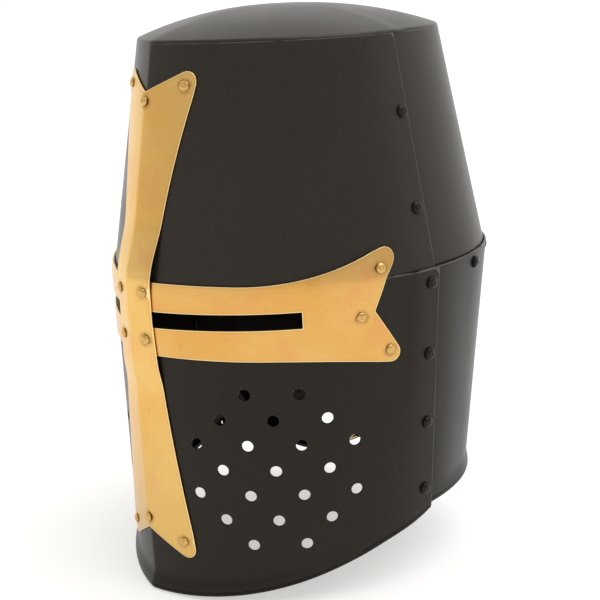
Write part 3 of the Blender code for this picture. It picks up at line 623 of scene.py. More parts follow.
def bent_sheet(name, outline, surface, grid, holes=(), rivets=(), pitch=PITCH, worn_holes=True):
    """Cuts a flat pattern with holes into small triangles and bends it with surface(x, y).

    Each point keeps its place on the pattern, its distance to the nearest worn edge, and its
    distance to the nearest rivet, for the material to read."""
    loops = [densify(np.asarray(outline), pitch)] + [np.asarray(h) for h in holes]
    border = np.concatenate(loops)
    grid = grid[nearest(grid, border) > 0.42 * pitch]
    edges, first = [], 0
    for loop in loops:
        edges += [(first + i, first + (i + 1) % len(loop)) for i in range(len(loop))]
        first += len(loop)
    flat = [Vector(p) for p in np.concatenate([border, grid])]
    verts, _, faces, *_ = delaunay_2d_cdt(flat, edges, [], 1, 1e-7)
    verts = np.array([tuple(v) for v in verts])
    faces = np.array(faces)
    middles = verts[faces].mean(axis=1)
    keep = np.ones(len(faces), bool)
    for loop in loops[1:]:
        keep &= ~inside(middles, loop)
    faces = faces[keep]
    used, faces = np.unique(faces, return_inverse=True)
    verts, faces = verts[used], faces.reshape(-1, 3)
    mesh = new_mesh(name, surface(verts[:, 0], verts[:, 1]), faces.tolist())
    worn = loops if worn_holes else loops[:1]
    fine_border = np.concatenate([densify(loop, 0.0006) for loop in worn])
    write_measure(mesh, "edge", nearest(verts, fine_border))
    if len(rivets):
        write_measure(mesh, "rivet", nearest(verts, np.asarray(rivets)))
    write_pattern(mesh, verts)
    return add_object(name, mesh)


def write_measure(mesh, name, values):
    attribute = mesh.attributes.new(name, "FLOAT", "POINT")
    attribute.data.foreach_set("value", np.asarray(values, np.float32))


def write_pattern(mesh, flat):
    attribute = mesh.attributes.new("pattern", "FLOAT_VECTOR", "POINT")
    values = np.concatenate([flat, np.zeros((len(flat), 1))], axis=1)
    attribute.data.foreach_set("vector", values.astype(np.float32).ravel())


def grid_faces(rows, count, closed=False, loop=False, ends=False):
    """Faces between rows of points. closed joins each row's ends, loop the last row to the first."""
    faces = []
    for r in range(rows if loop else rows - 1):
        a, b = r * count, (r + 1) % rows * count
        for i in range(count if closed else count - 1):
            j = (i + 1) % count
            faces.append((a + i, a + j, b + j, b + i))
    if ends:
        faces += [tuple(reversed(range(count))), tuple((rows - 1) * count + i for i in range(count))]
    return faces


def grid_mesh(name, rows, closed=False, cap=None, foot=None, loop=False, ends=False):
    """A surface through rows of points, lowest first. cap and foot are points that close it."""
    rows = np.asarray(rows, float)
    count = rows.shape[1]
    faces = grid_faces(len(rows), count, closed, loop, ends)
    points = rows.reshape(-1, 3).tolist()
    if cap is not None:
        points.append(tuple(cap))
        last = (len(rows) - 1) * count
        faces += [(last + i, last + (i + 1) % count, len(points) - 1) for i in range(count)]
    if foot is not None:
        points.append(tuple(foot))
        faces += [((i + 1) % count, i, len(points) - 1) for i in range(count)]
    return new_mesh(name, points, faces)


def ring_about(middle, first, other, radius, sides):
    """A ring of points in the plane of two unit vectors."""
    turns = [math.tau * k / sides for k in range(sides)]
    return [middle + (first * math.cos(a) + other * math.sin(a)) * radius for a in turns]


# ---------------------------------------------------------------- rivets
class Rivet(NamedTuple):
    """seat is the lift under the head, foot the lift under the innermost sheet it holds."""

    name: str
    look: str
    along: float
    height: float
    seat: float
    foot: float
    level: bool = False


def steel_rivets():
    """Side seams, then the row that joins the upper and lower back plates."""
    rivets = []
    seam_along = along_at(SIDE_RIVET_Y + BODY_SHIFT_Y, SEAM_RIVET_HEIGHT)
    for side, word in ((1, "left"), (-1, "right")):
        for number, (y, height) in enumerate(((0.0055, 0.2655), (SIDE_RIVET_Y, 0.2149)), 1):
            along = side * along_at(y + BODY_SHIFT_Y, height)
            rivets.append(Rivet(f"rivet_{word}_upper_{number}", "steel_rivet", along, height,
                                LIFT_UPPER_FRONT, LIFT_UPPER_BACK - STEEL))
        strap_foot = LIFT_LINER - LEATHER - 0.0045
        rivets.append(Rivet(f"rivet_{word}_lower_1", "steel_rivet", side * seam_along, SEAM_RIVET_HEIGHT,
                            LIFT_LOWER_FRONT + LAYER, strap_foot, True))
        for number in (2, 3, 4):
            height = SEAM_RIVET_HEIGHT - (number - 1) * SIDE_RIVET_PITCH
            along = side * along_at(SIDE_RIVET_Y + BODY_SHIFT_Y, height)
            rivets.append(Rivet(f"rivet_{word}_lower_{number}", "steel_rivet", along, height,
                                LIFT_LOWER_FRONT + LAYER, LIFT_LOWER_BACK + LAYER - STEEL))
    span = 2 * (float(half_way(SEAM_RIVET_HEIGHT)) - seam_along)
    for number in range(1, BACK_RIVET_GAPS):
        along = seam_along + span * number / BACK_RIVET_GAPS
        rivets.append(Rivet(f"rivet_back_{number}", "steel_rivet", along, SEAM_RIVET_HEIGHT + 0.001,
                            LIFT_LOWER_BACK, LIFT_LINER_FOOT))
    return rivets


def brass_rivets():
    """Two on the keel, then the mirrored ones of the upright and the arms."""
    keel_extra = 0.0008
    wall_foot = LIFT_LOWER_FRONT - STEEL
    rivets = [Rivet("brass_rivet_keel_top", "brass_rivet", 0.0, 0.2768, LIFT_UPRIGHT_TOP,
                    LIFT_UPPER_FRONT - STEEL - keel_extra),
              Rivet("brass_rivet_keel_foot", "brass_rivet", 0.0, 0.0447, LIFT_UPRIGHT_FOOT,
                    wall_foot - keel_extra)]
    for side, word in ((1, "left"), (-1, "right")):
        paired = (
            ("upright_top", 0.0253, 0.2849, LIFT_UPRIGHT_TOP, LIFT_UPPER_FRONT - STEEL),
            ("crossing_upper", 0.0105, 0.1774, LIFT_UPRIGHT_CROSSING, LIFT_LINER_FOOT),
            ("crossing_lower", 0.0103, 0.1513, LIFT_UPRIGHT_CROSSING, wall_foot),
            ("upright_foot", 0.0240, 0.0343, LIFT_UPRIGHT_FOOT, wall_foot),
            ("arm_upper_tail", 0.1400, 0.1885, LIFT_ARM, LIFT_LINER_FOOT),
            ("arm_notch", 0.1291, 0.1635, LIFT_ARM, wall_foot),
            ("arm_lower_tail", 0.1453, 0.1432, LIFT_ARM, wall_foot),
        )
        for label, along, height, seat, foot in paired:
            name = f"brass_rivet_{word}_{label}"
            rivets.append(Rivet(name, "brass_rivet", side * along, height, seat, foot))
    return rivets


RIVETS = steel_rivets() + brass_rivets()


def rivet_frame(rivet):
    """The point under the head's middle, the axis, and the distance to the foot."""
    seat = point(rivet.along, rivet.height, rivet.seat)
    axis = facing(rivet.along, rivet.height, rivet.seat)
    if rivet.level:
        axis = Vector((math.copysign(1, rivet.along), 0, 0))
    return seat, axis, rivet.seat - rivet.foot


def rivet_holes(lift, to_pattern, outline):
    """The shank holes of a sheet at this lift, on its pattern, and the rivets' places there."""
    holes, places = [], []
    for rivet in RIVETS:
        if not rivet.foot - GAP < lift < rivet.seat + GAP:
            continue
        _, axis, _ = rivet_frame(rivet)
        height = rivet.height - axis.z * (rivet.seat - lift)
        ring = circle(rivet.along, height, SHANK_RADIUS + RIVET_CLEARANCE, 12)
        ring = np.stack(to_pattern(ring[:, 0], ring[:, 1]), 1)
        if inside(ring, outline).all():
            holes.append(ring)
            places.append(ring.mean(axis=0))
    return holes, places


def head_profile(radius, rise, dimple):
    """A domed head with a shallow dimple in its middle and a soft lower edge."""
    points = [(0.10 * radius, rise - dimple * 0.95), (0.19 * radius, rise - dimple * 0.45),
              (0.27 * radius, rise * 0.98), (0.36 * radius, rise * 0.99)]
    for angle in spread(30, 84, 9):
        turn = math.radians(angle)
        points.append((radius * math.sin(turn) ** 0.9, rise * (0.16 + 0.84 * math.cos(turn) ** 0.85)))
    return points + [(radius, 0.10 * rise), (0.97 * radius, 0.0)]


def add_rivets():
    for rivet in RIVETS:
        seat, axis, depth = rivet_frame(rivet)
        radius, rise = STEEL_HEAD if rivet.look == "steel_rivet" else BRASS_HEAD
        foot = -depth - 2 * GAP
        dimple = 0.16 * rise
        profile = head_profile(radius, rise, dimple)
        profile += [(SHANK_RADIUS, 0), (SHANK_RADIUS, foot)]
        profile += [(TAIL_RADIUS * out, foot - TAIL_THICKNESS * down) for out, down in TAIL_SHAPE]
        across = axis.to_track_quat("Z", "Y").to_matrix().col
        seat = seat + axis * GAP * 0.25
        rings = [ring_about(seat + axis * height, across[0], across[1], out, 36)
                 for out, height in reversed(profile)]
        mesh = grid_mesh(rivet.name, rings, closed=True, cap=seat + axis * (rise - dimple),
                         foot=seat + axis * (foot - TAIL_THICKNESS))
        write_measure(mesh, "edge", np.full(len(mesh.vertices), 1.0))
        mesh.shade_smooth()
        mesh.set_sharp_from_angle(angle=math.radians(50))
        show(add_object(rivet.name + "_fine", mesh), rivet.name, rivet.look, smooth_shade=False)


# ---------------------------------------------------------------- steel plates
FRONT_SPAN = 0.1750
BACK_SPAN = 0.3100


def front_pattern(along, height):
    """A front plate's pattern: across from the keel, evenly to the side seam, and the height."""
    return along / side_seam(height) * FRONT_SPAN, height


def front_along(across, height):
    return across / FRONT_SPAN * side_seam(height)


def back_start(height):
    return side_seam(height) - SIDE_OVERLAP


def back_pattern(along, height):
    """A back plate's pattern: from the hidden edge on the left, round the back, to the right."""
    along = np.where(along < 0, along + 2 * half_way(height), along)
    start = back_start(height)
    return (along - start) / (2 * (half_way(height) - start)) * BACK_SPAN, height


def back_along(across, height):
    start = back_start(height)
    return start + across / BACK_SPAN * 2 * (half_way(height) - start)


def beyond_seam(along, height):
    """How far behind the side seam this place is, negative in front of it."""
    half = half_way(height)
    distance = np.abs(along)
    return np.where(distance > half, 2 * half - distance, distance) - side_seam(height)


def lower_front_lift(along, height):
    """The rear edge rises over the lower back plate, more gently below the cross."""
    ramp = SIDE_RAMP + RIM_RAMP * (1 - smooth(height, 0.080, 0.130))
    return LIFT_LOWER_FRONT + LAYER * smooth((beyond_seam(along, height) + SIDE_OVERLAP) / ramp, -1, 0)


def lower_back_lift(along, height):
    """The forward edges rise over the upper front plate's rear edges."""
    return LIFT_LOWER_BACK + LAYER * (1 - smooth(beyond_seam(along, height), 0.002, 0.002 + BACK_RAMP))


def upper_front_lift(along, height):
    """Its hidden foot follows the lower front plate out, up to the lower back plate's edge."""
    beyond = beyond_seam(along, height) + SIDE_OVERLAP
    tucked = (1 - smooth(height, TUCK_START, TUCK_END)) * (1 - smooth(beyond, -0.0035, -0.0005))
    return LIFT_UPPER_FRONT + (lower_front_lift(along, height) - LIFT_LOWER_FRONT) * tucked


def upper_back_lift(along, height):
    """Its hidden foot follows the lower back plate out, behind the upper front plate's edge."""
    behind = smooth(beyond_seam(along, height), 0.0003, 0.0032)
    tucked = (1 - smooth(height, TUCK_START, TUCK_END)) * behind
    return LIFT_UPPER_BACK + (lower_back_lift(along, height) - LIFT_LOWER_BACK) * tucked


def top_lift(along):
    return LIFT_UPPER_FRONT * (1 - smooth(beyond_seam(along, WALL_TOP), 0.0, SIDE_RAMP))


def front_rim(along):
    """The rim's lowest edge, rising from the keel and levelling off just before the side seam."""
    share = np.abs(along) / RIM_SIDE_ALONG
    return FRONT_RIM_HEIGHT * share ** 1.9 - FRONT_RIM_DROP * smooth(share, 0.78, 1.0)


def back_rim(along):
    """The rim's lowest edge behind the side seam: nearly level, a little higher at the back."""
    half = half_way(RIM_SIDE_HEIGHT)
    share = (half - np.abs(half - along) - RIM_SIDE_ALONG) / (half - RIM_SIDE_ALONG)
    return BACK_RIM_HEIGHT + RIM_BACK_RISE * np.sin(np.clip(share, 0, 1) * math.pi / 2)


def flare(along):
    """How far the wall's foot stands out: most at the keel, not at all at the side seams."""
    distance = np.minimum(np.abs(along), 2 * half_way(RIM_SIDE_HEIGHT) - np.abs(along))
    return FLARE_FRONT * (1 - smooth(distance, 0.05, 0.15)) + FLARE_BACK * smooth(distance, 0.178, 0.215)


def keel_columns(end):
    """Columns across a front sheet, closer together on the keel's bend."""
    near = [0.0005, 0.0010, 0.0016, 0.0025, 0.0040]
    far = steps(0.0060, end)
    return np.array([-c for c in (*near, *far)] + [0.0, *near, *far])


def lattice(columns, rows):
    return np.stack(np.meshgrid(columns, rows), -1).reshape(-1, 2)


def lower_front_holes(outline):
    """The shank holes, the breath holes and the eye slots."""
    holes, places = rivet_holes(LIFT_LOWER_FRONT + LAYER / 2, front_pattern, outline)
    for side in (1, -1):
        rings = [eye_slot(side)]
        for row, columns in BREATH_ROWS:
            height = BREATH_CENTRE[1] + row * BREATH_PITCH[1]
            for column in columns:
                along = side * (BREATH_CENTRE[0] + column * BREATH_PITCH[0])
                rings.append(circle(along, height, BREATH_RADIUS, 28))
        holes += [np.stack(front_pattern(ring[:, 0], ring[:, 1]), 1) for ring in rings]
    return holes, places


def upper_plate(name, span, lift, lift_of, to_pattern, to_along):
    """An upper wall, from behind the seam's overlap to the welded top edge."""
    left = 0.0 if to_pattern is back_pattern else -span
    columns = steps(left, span) if left == 0 else keel_columns(span)
    rows = np.concatenate([steps(OVERLAP_FOOT, SEAM_HEIGHT), steps(SEAM_HEIGHT, WALL_TOP)[1:]])
    outline = np.array([(left, OVERLAP_FOOT), (span, OVERLAP_FOOT), (span, WALL_TOP), (left, WALL_TOP)])
    holes, places = rivet_holes(lift, to_pattern, outline)
    item = bent_sheet(name + "_fine", outline,
                      lambda x, y: place(to_along(x, y), y, lift_of(to_along(x, y), y)),
                      lattice(columns, rows), holes, places, worn_holes=False)
    show(thicken(item, STEEL), name, "black")


def rolled_point(across, height, to_along, lift_of, rim_of):
    """A wall that flares a little and rolls under. Below its foot, height counts along the roll."""
    foot = rim_of(to_along(across, RIM_SIDE_HEIGHT)) + ROLL_RADIUS
    angle = np.clip((foot - height) / ROLL_SPAN, 0, 1) * ROLL_TURN
    level = np.maximum(height, foot)
    along = to_along(across, level)
    out = flare(along) * (1 - smooth(level - foot, 0, FLARE_RISE))
    lift = lift_of(along, level) + out - ROLL_RADIUS * (1 - np.cos(angle))
    return place(along, level - ROLL_RADIUS * np.sin(angle), lift)


def rolled_grid(columns, foot_of):
    """Rows that follow the curved foot, close together on the roll and the flare."""
    roll = -ROLL_SPAN * np.linspace(0, 1, 12)[1:]
    wall = np.linspace(0, 1, 54) ** 1.35
    points = []
    for column in columns:
        foot = foot_of(column)
        points += [(column, foot + r) for r in roll]
        points += [(column, foot + (SEAM_HEIGHT - foot) * w) for w in wall]
    return np.array(points)


def paint_roll_shade(item, foot_of):
    """Gives the rolled rim, below the wall's foot, the second material: a darker copy of the black,
    painted shade where the roll turns under.
    """
    mesh = item.data
    flat = np.empty(len(mesh.vertices) * 3, np.float32)
    mesh.attributes["pattern"].data.foreach_get("vector", flat)
    flat = flat.reshape(-1, 3)
    on_shaded_roll = flat[:, 1] < foot_of(flat[:, 0]) + SHADED_RIM_BAND
    mesh.materials.append(LOOKS["black_rim_painted_shade"][0])
    for face in mesh.polygons:
        face.material_index = int(on_shaded_roll[list(face.vertices)].all())


def lower_plate(name, to_along, lift_of, rim_of, ends, corners, columns, cut_holes):
    """A lower wall with a rolled foot. ends are the roll's, and corners finish the outline."""
    def foot_of(across):
        return rim_of(to_along(across, RIM_SIDE_HEIGHT)) + ROLL_RADIUS

    outline = np.array([(c, foot_of(c) - ROLL_SPAN) for c in steps(*ends)] + corners)
    holes, places = cut_holes(outline)
    item = bent_sheet(name + "_fine", outline, lambda x, y: rolled_point(x, y, to_along, lift_of, rim_of),
                      rolled_grid(columns, foot_of), holes, places, worn_holes=False)
    # The lower walls take a darker copy of the black: painted shade.
    show(thicken(item, STEEL), name, "black_painted_shade_low")
    paint_roll_shade(item, foot_of)


def lower_front_plate():
    corners = [(FRONT_SPAN, SEAM_HEIGHT), (-FRONT_SPAN, SEAM_HEIGHT)]
    lower_plate("lower_front_plate", front_along, lower_front_lift, front_rim, (-FRONT_SPAN, FRONT_SPAN),
                corners, keel_columns(FRONT_SPAN), lower_front_holes)


def lower_back_plate():
    """Its forward corners are trimmed above the front plate's roll."""
    rim_along = along_at(HIDDEN_RIM_Y, RIM_SIDE_HEIGHT)
    corner = float(back_pattern(np.array([rim_along]), RIM_SIDE_HEIGHT)[0][0])
    corners = [(BACK_SPAN - corner, HIDDEN_RIM_TOP), (BACK_SPAN, HIDDEN_RIM_TOP),
               (BACK_SPAN, SEAM_HEIGHT), (0, SEAM_HEIGHT), (0, HIDDEN_RIM_TOP), (corner, HIDDEN_RIM_TOP)]
    lower_plate("lower_back_plate", back_along, lower_back_lift, back_rim, (corner, BACK_SPAN - corner),
                corners, steps(0, BACK_SPAN),
                lambda outline: rivet_holes(LIFT_LOWER_BACK + LAYER / 2, back_pattern, outline))


def top_plate():
    """The domed cap, welded and ground flush: a rounded shoulder that leaves the walls in line."""
    half = float(half_way(WALL_TOP))
    alongs = np.linspace(-half, half, 221)[:-1]
    lift = top_lift(alongs)
    step = 0.004
    below = place(alongs / half * half_way(WALL_TOP - step), WALL_TOP - step, lift)
    lean = np.arctan(np.hypot(*(below - place(alongs, WALL_TOP, lift))[:, :2].T) / step)
    end = math.radians(70)
    rows = []
    for share in np.linspace(0, 1, 10):
        angle = lean + (end - lean) * share
        ring = place(alongs, WALL_TOP, lift - SHOULDER_RADIUS * (np.cos(lean) - np.cos(angle)))
        ring[:, 2] += SHOULDER_RADIUS * (np.sin(angle) - np.sin(lean))
        rows.append(ring)
    centre = np.array([0.0, TOP.shift + BODY_SHIFT_Y])
    last = rows[-1]
    for reach in (0.97, 0.93, 0.88, 0.82, 0.75, 0.67, 0.58, 0.48, 0.37, 0.26, 0.15, 0.07):
        ring = last.copy()
        ring[:, :2] = centre + (last[:, :2] - centre) * reach
        ring[:, 2] = last[:, 2] + (CROWN_TOP - last[:, 2]) * (1 - reach ** 2.2)
        rows.append(ring)
    mesh = grid_mesh("top_plate", rows, closed=True, cap=(*centre, CROWN_TOP))
    write_measure(mesh, "edge", np.full(len(mesh.vertices), 1.0))
    item = thicken(add_object("top_plate_fine", mesh), STEEL, rounding=0)
    show(item, "top_plate", "black")


# ---------------------------------------------------------------- brass cross
def same_pattern(along, height):
    return along, height


def upright_half_width(height):
    """Narrow at the eye slots, flaring to both ends."""
    up = max(height - 0.178, 0) / 0.106
    down = max(0.165 - height, 0) / 0.131
    return UPRIGHT_WAIST + 0.0166 * up ** 1.7 + 0.0156 * down ** 1.5


def upright_lift(height):
    above = smooth(height, 0.188, 0.215)
    below = 1 - smooth(height, 0.122, 0.138)
    return (LIFT_UPRIGHT_CROSSING + (LIFT_UPRIGHT_TOP - LIFT_UPRIGHT_CROSSING) * above
            + (LIFT_UPRIGHT_FOOT - LIFT_UPRIGHT_CROSSING) * below)


def cross_upright():
    side = [(upright_half_width(h), h, 0) for h in spread(0.040, 0.280, 49)]
    right = [(0.0, 0.0387, 0), (0.0322, 0.0205, 0.0052)] + side + [(0.0338, 0.2962, 0.0058)]
    left = [(-x, h, r) for x, h, r in reversed(right[1:])]
    outline = rounded(right + [(0.0, 0.2817, 0)] + left)
    holes, places = [], []
    for lift, low, high in ((LIFT_UPRIGHT_FOOT, 0, 0.1), (LIFT_UPRIGHT_CROSSING, 0.1, 0.2),
                            (LIFT_UPRIGHT_TOP, 0.2, 0.4)):
        for ring, middle in zip(*rivet_holes(lift - BRASS / 2, same_pattern, outline)):
            if low < middle[1] < high and abs(middle[0]) < 0.04:
                holes.append(ring)
                places.append(middle)
    grid = lattice(keel_columns(0.036), steps(0.018, 0.298, FINE_PITCH))
    item = bent_sheet("cross_upright_fine", outline, lambda x, y: place(x, y, upright_lift(y)), grid,
                      holes, places, FINE_PITCH)
    show(thicken(item, BRASS, rounding=0.00030), "cross_upright", "brass_up")


def arm_lift(height):
    """Cancels the wall's bend at the seam, so that the arm leans back in one gentle curve."""
    above = np.maximum(height - SEAM_HEIGHT, 0)
    bent = np.maximum(height - ARM_BEND_START, 0) / (ARM_BEND_END - ARM_BEND_START)
    return LIFT_ARM + WALL_SLOPE * above - ARM_LEAN * bent ** 1.7


def arm_top(along):
    return SEAM_HEIGHT + 0.0002 + 0.0159 * (max(along - 0.062, 0) / 0.076) ** 2.2


def arm_foot(along):
    return 0.1424 - 0.0065 * (max(along - 0.075, 0) / 0.070) ** 2.2


def eye_slot(side):
    """The slot's outline, a long bar that rises a little towards the back."""
    low, high = [], []
    for along in spread(EYE_SLOT_START, EYE_SLOT_END, 30):
        share = (along - EYE_SLOT_START) / (EYE_SLOT_END - EYE_SLOT_START)
        middle = EYE_SLOT_HEIGHTS[0] + (EYE_SLOT_HEIGHTS[1] - EYE_SLOT_HEIGHTS[0]) * share
        low.append((side * along, middle - EYE_SLOT_WIDTH / 2))
        high.append((side * along, middle + EYE_SLOT_WIDTH / 2))
    return np.array(low + high[::-1])


def cross_arm(name, side):
    """One arm of the cross with its swallow tail, reaching back from under the upright."""
    start = 0.0045
    upper = [(along, arm_top(along), 0) for along in spread(0.064, 0.134, 22)]
    lower = [(along, arm_foot(along), 0) for along in spread(0.138, 0.078, 20)]
    corners = [(start, arm_foot(start), 0)]
    corners += list(reversed(lower))
    corners += [(0.1570, 0.1343, 0.0053), (0.1369, 0.1659, 0.0015), (0.1532, 0.2033, 0.0067)]
    corners += list(reversed(upper))
    corners += [(start, arm_top(start), 0)]
    outline = rounded(corners) * (side, 1)
    if side < 0:
        outline = outline[::-1]
    holes, places = rivet_holes(LIFT_ARM - BRASS / 2, same_pattern, outline)
    columns = np.sort(steps(side * 0.004, side * 0.160, FINE_PITCH))
    grid = lattice(columns, steps(0.132, 0.206, FINE_PITCH))
    item = bent_sheet(name + "_fine", outline, lambda x, y: place(x, y, arm_lift(y)), grid,
                      holes + [eye_slot(side)], places, FINE_PITCH)
    show(thicken(item, BRASS, rounding=0.00030), name, "brass_along")


# ---------------------------------------------------------------- leather liner
LINER_AROUND = 0.6400
TONGUE_LENGTH = 0.1050
TONGUE_GAP = 0.16
BAND_WIDTH = BAND_TOP - BAND_FOOT
LINER_PITCH = 0.0035
SOFT_ROUNDING = 0.0005
STITCH_LENGTH = 0.0028
STITCH_RADIUS = 0.00042


def drawn_in(column, reach, height):
    """Points of the band's top edge, drawn in towards the middle and set at a height."""
    base = place(column * 2 * half_way(BAND_TOP), BAND_TOP, LIFT_LINER)
    x = base[..., 0] * reach
    y = BODY_SHIFT_Y + (base[..., 1] - BODY_SHIFT_Y) * reach
    return np.stack([x, y, np.broadcast_to(height, x.shape)], -1)


def tongue_height(angle):
    share = (np.sin(angle) - math.sin(TONGUE_LEAN)) / (1 - math.sin(TONGUE_LEAN))
    return BAND_TOP + TONGUE_RISE * share


def liner_point(around, up):
    """The pattern counts around from the middle of the back, and up from the band's foot."""
    column = (around / LINER_AROUND + 0.5) % 1.0
    climb = np.clip((up - BAND_WIDTH) / TONGUE_LENGTH, 0, 1)
    angle = TONGUE_LEAN + (math.pi / 2 - TONGUE_LEAN) * climb
    reach = CROWN_REACH + (1 - CROWN_REACH) * np.cos(angle) / math.cos(TONGUE_LEAN)
    height = BAND_FOOT + np.minimum(up, BAND_WIDTH)
    wall = place(column * 2 * half_way(height), height, LIFT_LINER)
    tongue = drawn_in(column, reach, tongue_height(angle))
    return np.where((up > BAND_WIDTH)[:, None], tongue, wall)


def liner_outline():
    """The band's foot, then the tongues with round-bottomed gaps between them."""
    width = LINER_AROUND / TONGUES
    slack, tip = 0.0004, BAND_WIDTH + TONGUE_LENGTH
    corners = [(slack, 0, 0), (LINER_AROUND - slack, 0, 0), (LINER_AROUND - slack, BAND_WIDTH, 0)]
    for k in reversed(range(TONGUES)):
        middle = (k + 0.5) * width
        foot_half = width * (1 - TONGUE_GAP) / 2
        tip_half = foot_half * 0.86
        corners += [(middle + foot_half, BAND_WIDTH, 0.0025), (middle + tip_half, tip, 0.008),
                    (middle - tip_half, tip, 0.008), (middle - foot_half, BAND_WIDTH, 0.0025)]
    return rounded(corners + [(slack, BAND_WIDTH, 0)], 4)


def liner():
    outline = liner_outline()
    grid = lattice(steps(0.001, LINER_AROUND - 0.001, LINER_PITCH),
                   steps(0.002, BAND_WIDTH + TONGUE_LENGTH - 0.002, LINER_PITCH))

    def to_pattern(along, height):
        column = along / (2 * half_way(height)) % 1.0
        return (column - 0.5) % 1.0 * LINER_AROUND, height - BAND_FOOT

    holes, places = rivet_holes(LIFT_LINER - LEATHER / 2, to_pattern, outline)
    item = bent_sheet("liner_fine", outline, liner_point, grid[inside(grid, outline)], holes, places,
                      LINER_PITCH)
    show(thicken(item, LEATHER, rounding=SOFT_ROUNDING), "liner", "liner_leather")
    around = np.arange(0.004, LINER_AROUND - 0.003, 0.0042)
    row = np.stack([around, np.full(len(around), 0.0030)], 1)
    add_stitches("liner_edge_stitches", row, liner_face, "liner_thread")


def liner_face(around, up):
    """The liner's inner face, where the thread lies."""
    step = 0.0005
    middle = liner_point(around, up)
    across = liner_point(around + step, up) - middle
    rise = liner_point(around, up + step) - middle
    normal = np.cross(across, rise)
    normal /= np.linalg.norm(normal, axis=1)[:, None]
    return middle - normal * (LEATHER + 0.0001)


def add_stitches(name, places, surface, look):
    """A row of short stitches along a pattern line, each a rounded bar that dips in at its ends."""
    here = surface(places[:, 0], places[:, 1])
    ahead = np.roll(here, -1, axis=0) - here
    ahead[-1] = ahead[-2]
    sides, rings = 8, spread(-1, 1, 7)
    shape = grid_faces(len(rings), sides, closed=True, ends=True)
    points, faces = [], []
    for centre, direction in zip(here, ahead):
        axis = Vector(direction).normalized()
        side = axis.orthogonal().normalized()
        faces += [tuple(len(points) + k for k in face) for face in shape]
        for ring in rings:
            thick = STITCH_RADIUS * math.sqrt(max(1 - ring ** 4, 0.02))
            middle = Vector(centre) + axis * ring * STITCH_LENGTH / 2
            points += ring_about(middle, side, axis.cross(side), thick, sides)
    show(add_object(name, new_mesh(name, points, faces)), None, look)


def patch_height(reach):
    share = np.clip(reach - CROWN_REACH, 0, 1) / (1 - CROWN_REACH)
    rise = np.interp(reach, (0.08, 0.20, CROWN_REACH, PATCH_REACH), (0.0030, 0.0026, 0.0018, 0.0010))
    return tongue_height(np.arccos(share * math.cos(TONGUE_LEAN))) + rise + LEATHER


def crown_patch():
    columns = np.linspace(0, 1, 129)[:-1]
    reaches = (PATCH_REACH, 0.44, 0.42, 0.40, 0.37, 0.33, 0.28, 0.22, 0.15, 0.08)
    rows = [drawn_in(columns, r, patch_height(r)) for r in reaches]
    mesh = grid_mesh("crown_patch", rows, closed=True, cap=(0, BODY_SHIFT_Y, rows[-1][0][2]))
    rim = [0.08 * (PATCH_REACH - r) for r in reaches for _ in columns] + [0.03]
    write_measure(mesh, "edge", rim)
    item = thicken(add_object("crown_patch_fine", mesh), LEATHER, rounding=SOFT_ROUNDING)
    show(item, "crown_patch", "liner_leather")
    count = 64
    for number, reach in enumerate((0.435, 0.375)):
        columns = (np.arange(count) + 0.5 * number) / count
        ring = np.stack([columns, np.full(count, reach)], 1)
        add_stitches(f"crown_patch_stitches_{number + 1}", ring,
                     lambda column, reach_at: drawn_in(column, reach_at, patch_height(reach_at) + 0.0001),
                     "liner_thread")


# ---------------------------------------------------------------- chin strap
QUARTER = np.linspace(0.0, math.pi / 2, 361)
QUARTER_X = STRAP_HALF_SPAN * np.sin(QUARTER)
QUARTER_Z = SEAM_RIVET_HEIGHT - STRAP_DROP * np.cos(QUARTER)
QUARTER_LENGTHS = np.concatenate([[0.0], np.cumsum(np.hypot(np.diff(QUARTER_X), np.diff(QUARTER_Z)))])
STRAP_HALF_LENGTH = float(QUARTER_LENGTHS[-1])


def strap_point(along, out, across):
    """Points on the hanging loop, by the distance from its lowest point and how far outside it."""
    along, out, across = np.broadcast_arrays(*(np.asarray(v, float) for v in (along, out, across)))
    distance = np.minimum(np.abs(along), STRAP_HALF_LENGTH)
    angle = np.interp(distance, QUARTER_LENGTHS, QUARTER)
    x, drop = STRAP_HALF_SPAN * np.sin(angle), -STRAP_DROP * np.cos(angle)
    normal_x, normal_z = x / STRAP_HALF_SPAN ** 2, drop / STRAP_DROP ** 2
    size = np.hypot(normal_x, normal_z)
    z = SEAM_RIVET_HEIGHT + drop + np.maximum(np.abs(along) - STRAP_HALF_LENGTH, 0)
    side = np.where(along >= 0, 1, -1)
    return np.stack([side * (x + normal_x / size * out), STRAP_Y + across, z + normal_z / size * out], -1)


def distance_gone(line):
    return np.concatenate([[0], np.cumsum(np.hypot(*np.diff(line, axis=0).T))])


def smooth_path(path):
    """The line through (along, out) pairs with its bends softened, and the distance gone on it."""
    keys = np.array(path)
    gone = distance_gone(keys)
    even = np.arange(0, gone[-1], PATH_STEP)
    line = np.stack([np.interp(even, gone, keys[:, k]) for k in (0, 1)], 1)
    reach = round(PATH_SOFTNESS / PATH_STEP)
    before = line[0] - (line[reach:0:-1] - line[0])
    after = line[-1] + (line[-1] - line[-2:-reach - 2:-1])
    weights = np.hanning(2 * reach + 1)
    weights /= weights.sum()
    padded = np.concatenate([before, line, after])
    line = np.stack([np.convolve(padded[:, k], weights, "valid") for k in (0, 1)], 1)
    return line, distance_gone(line)


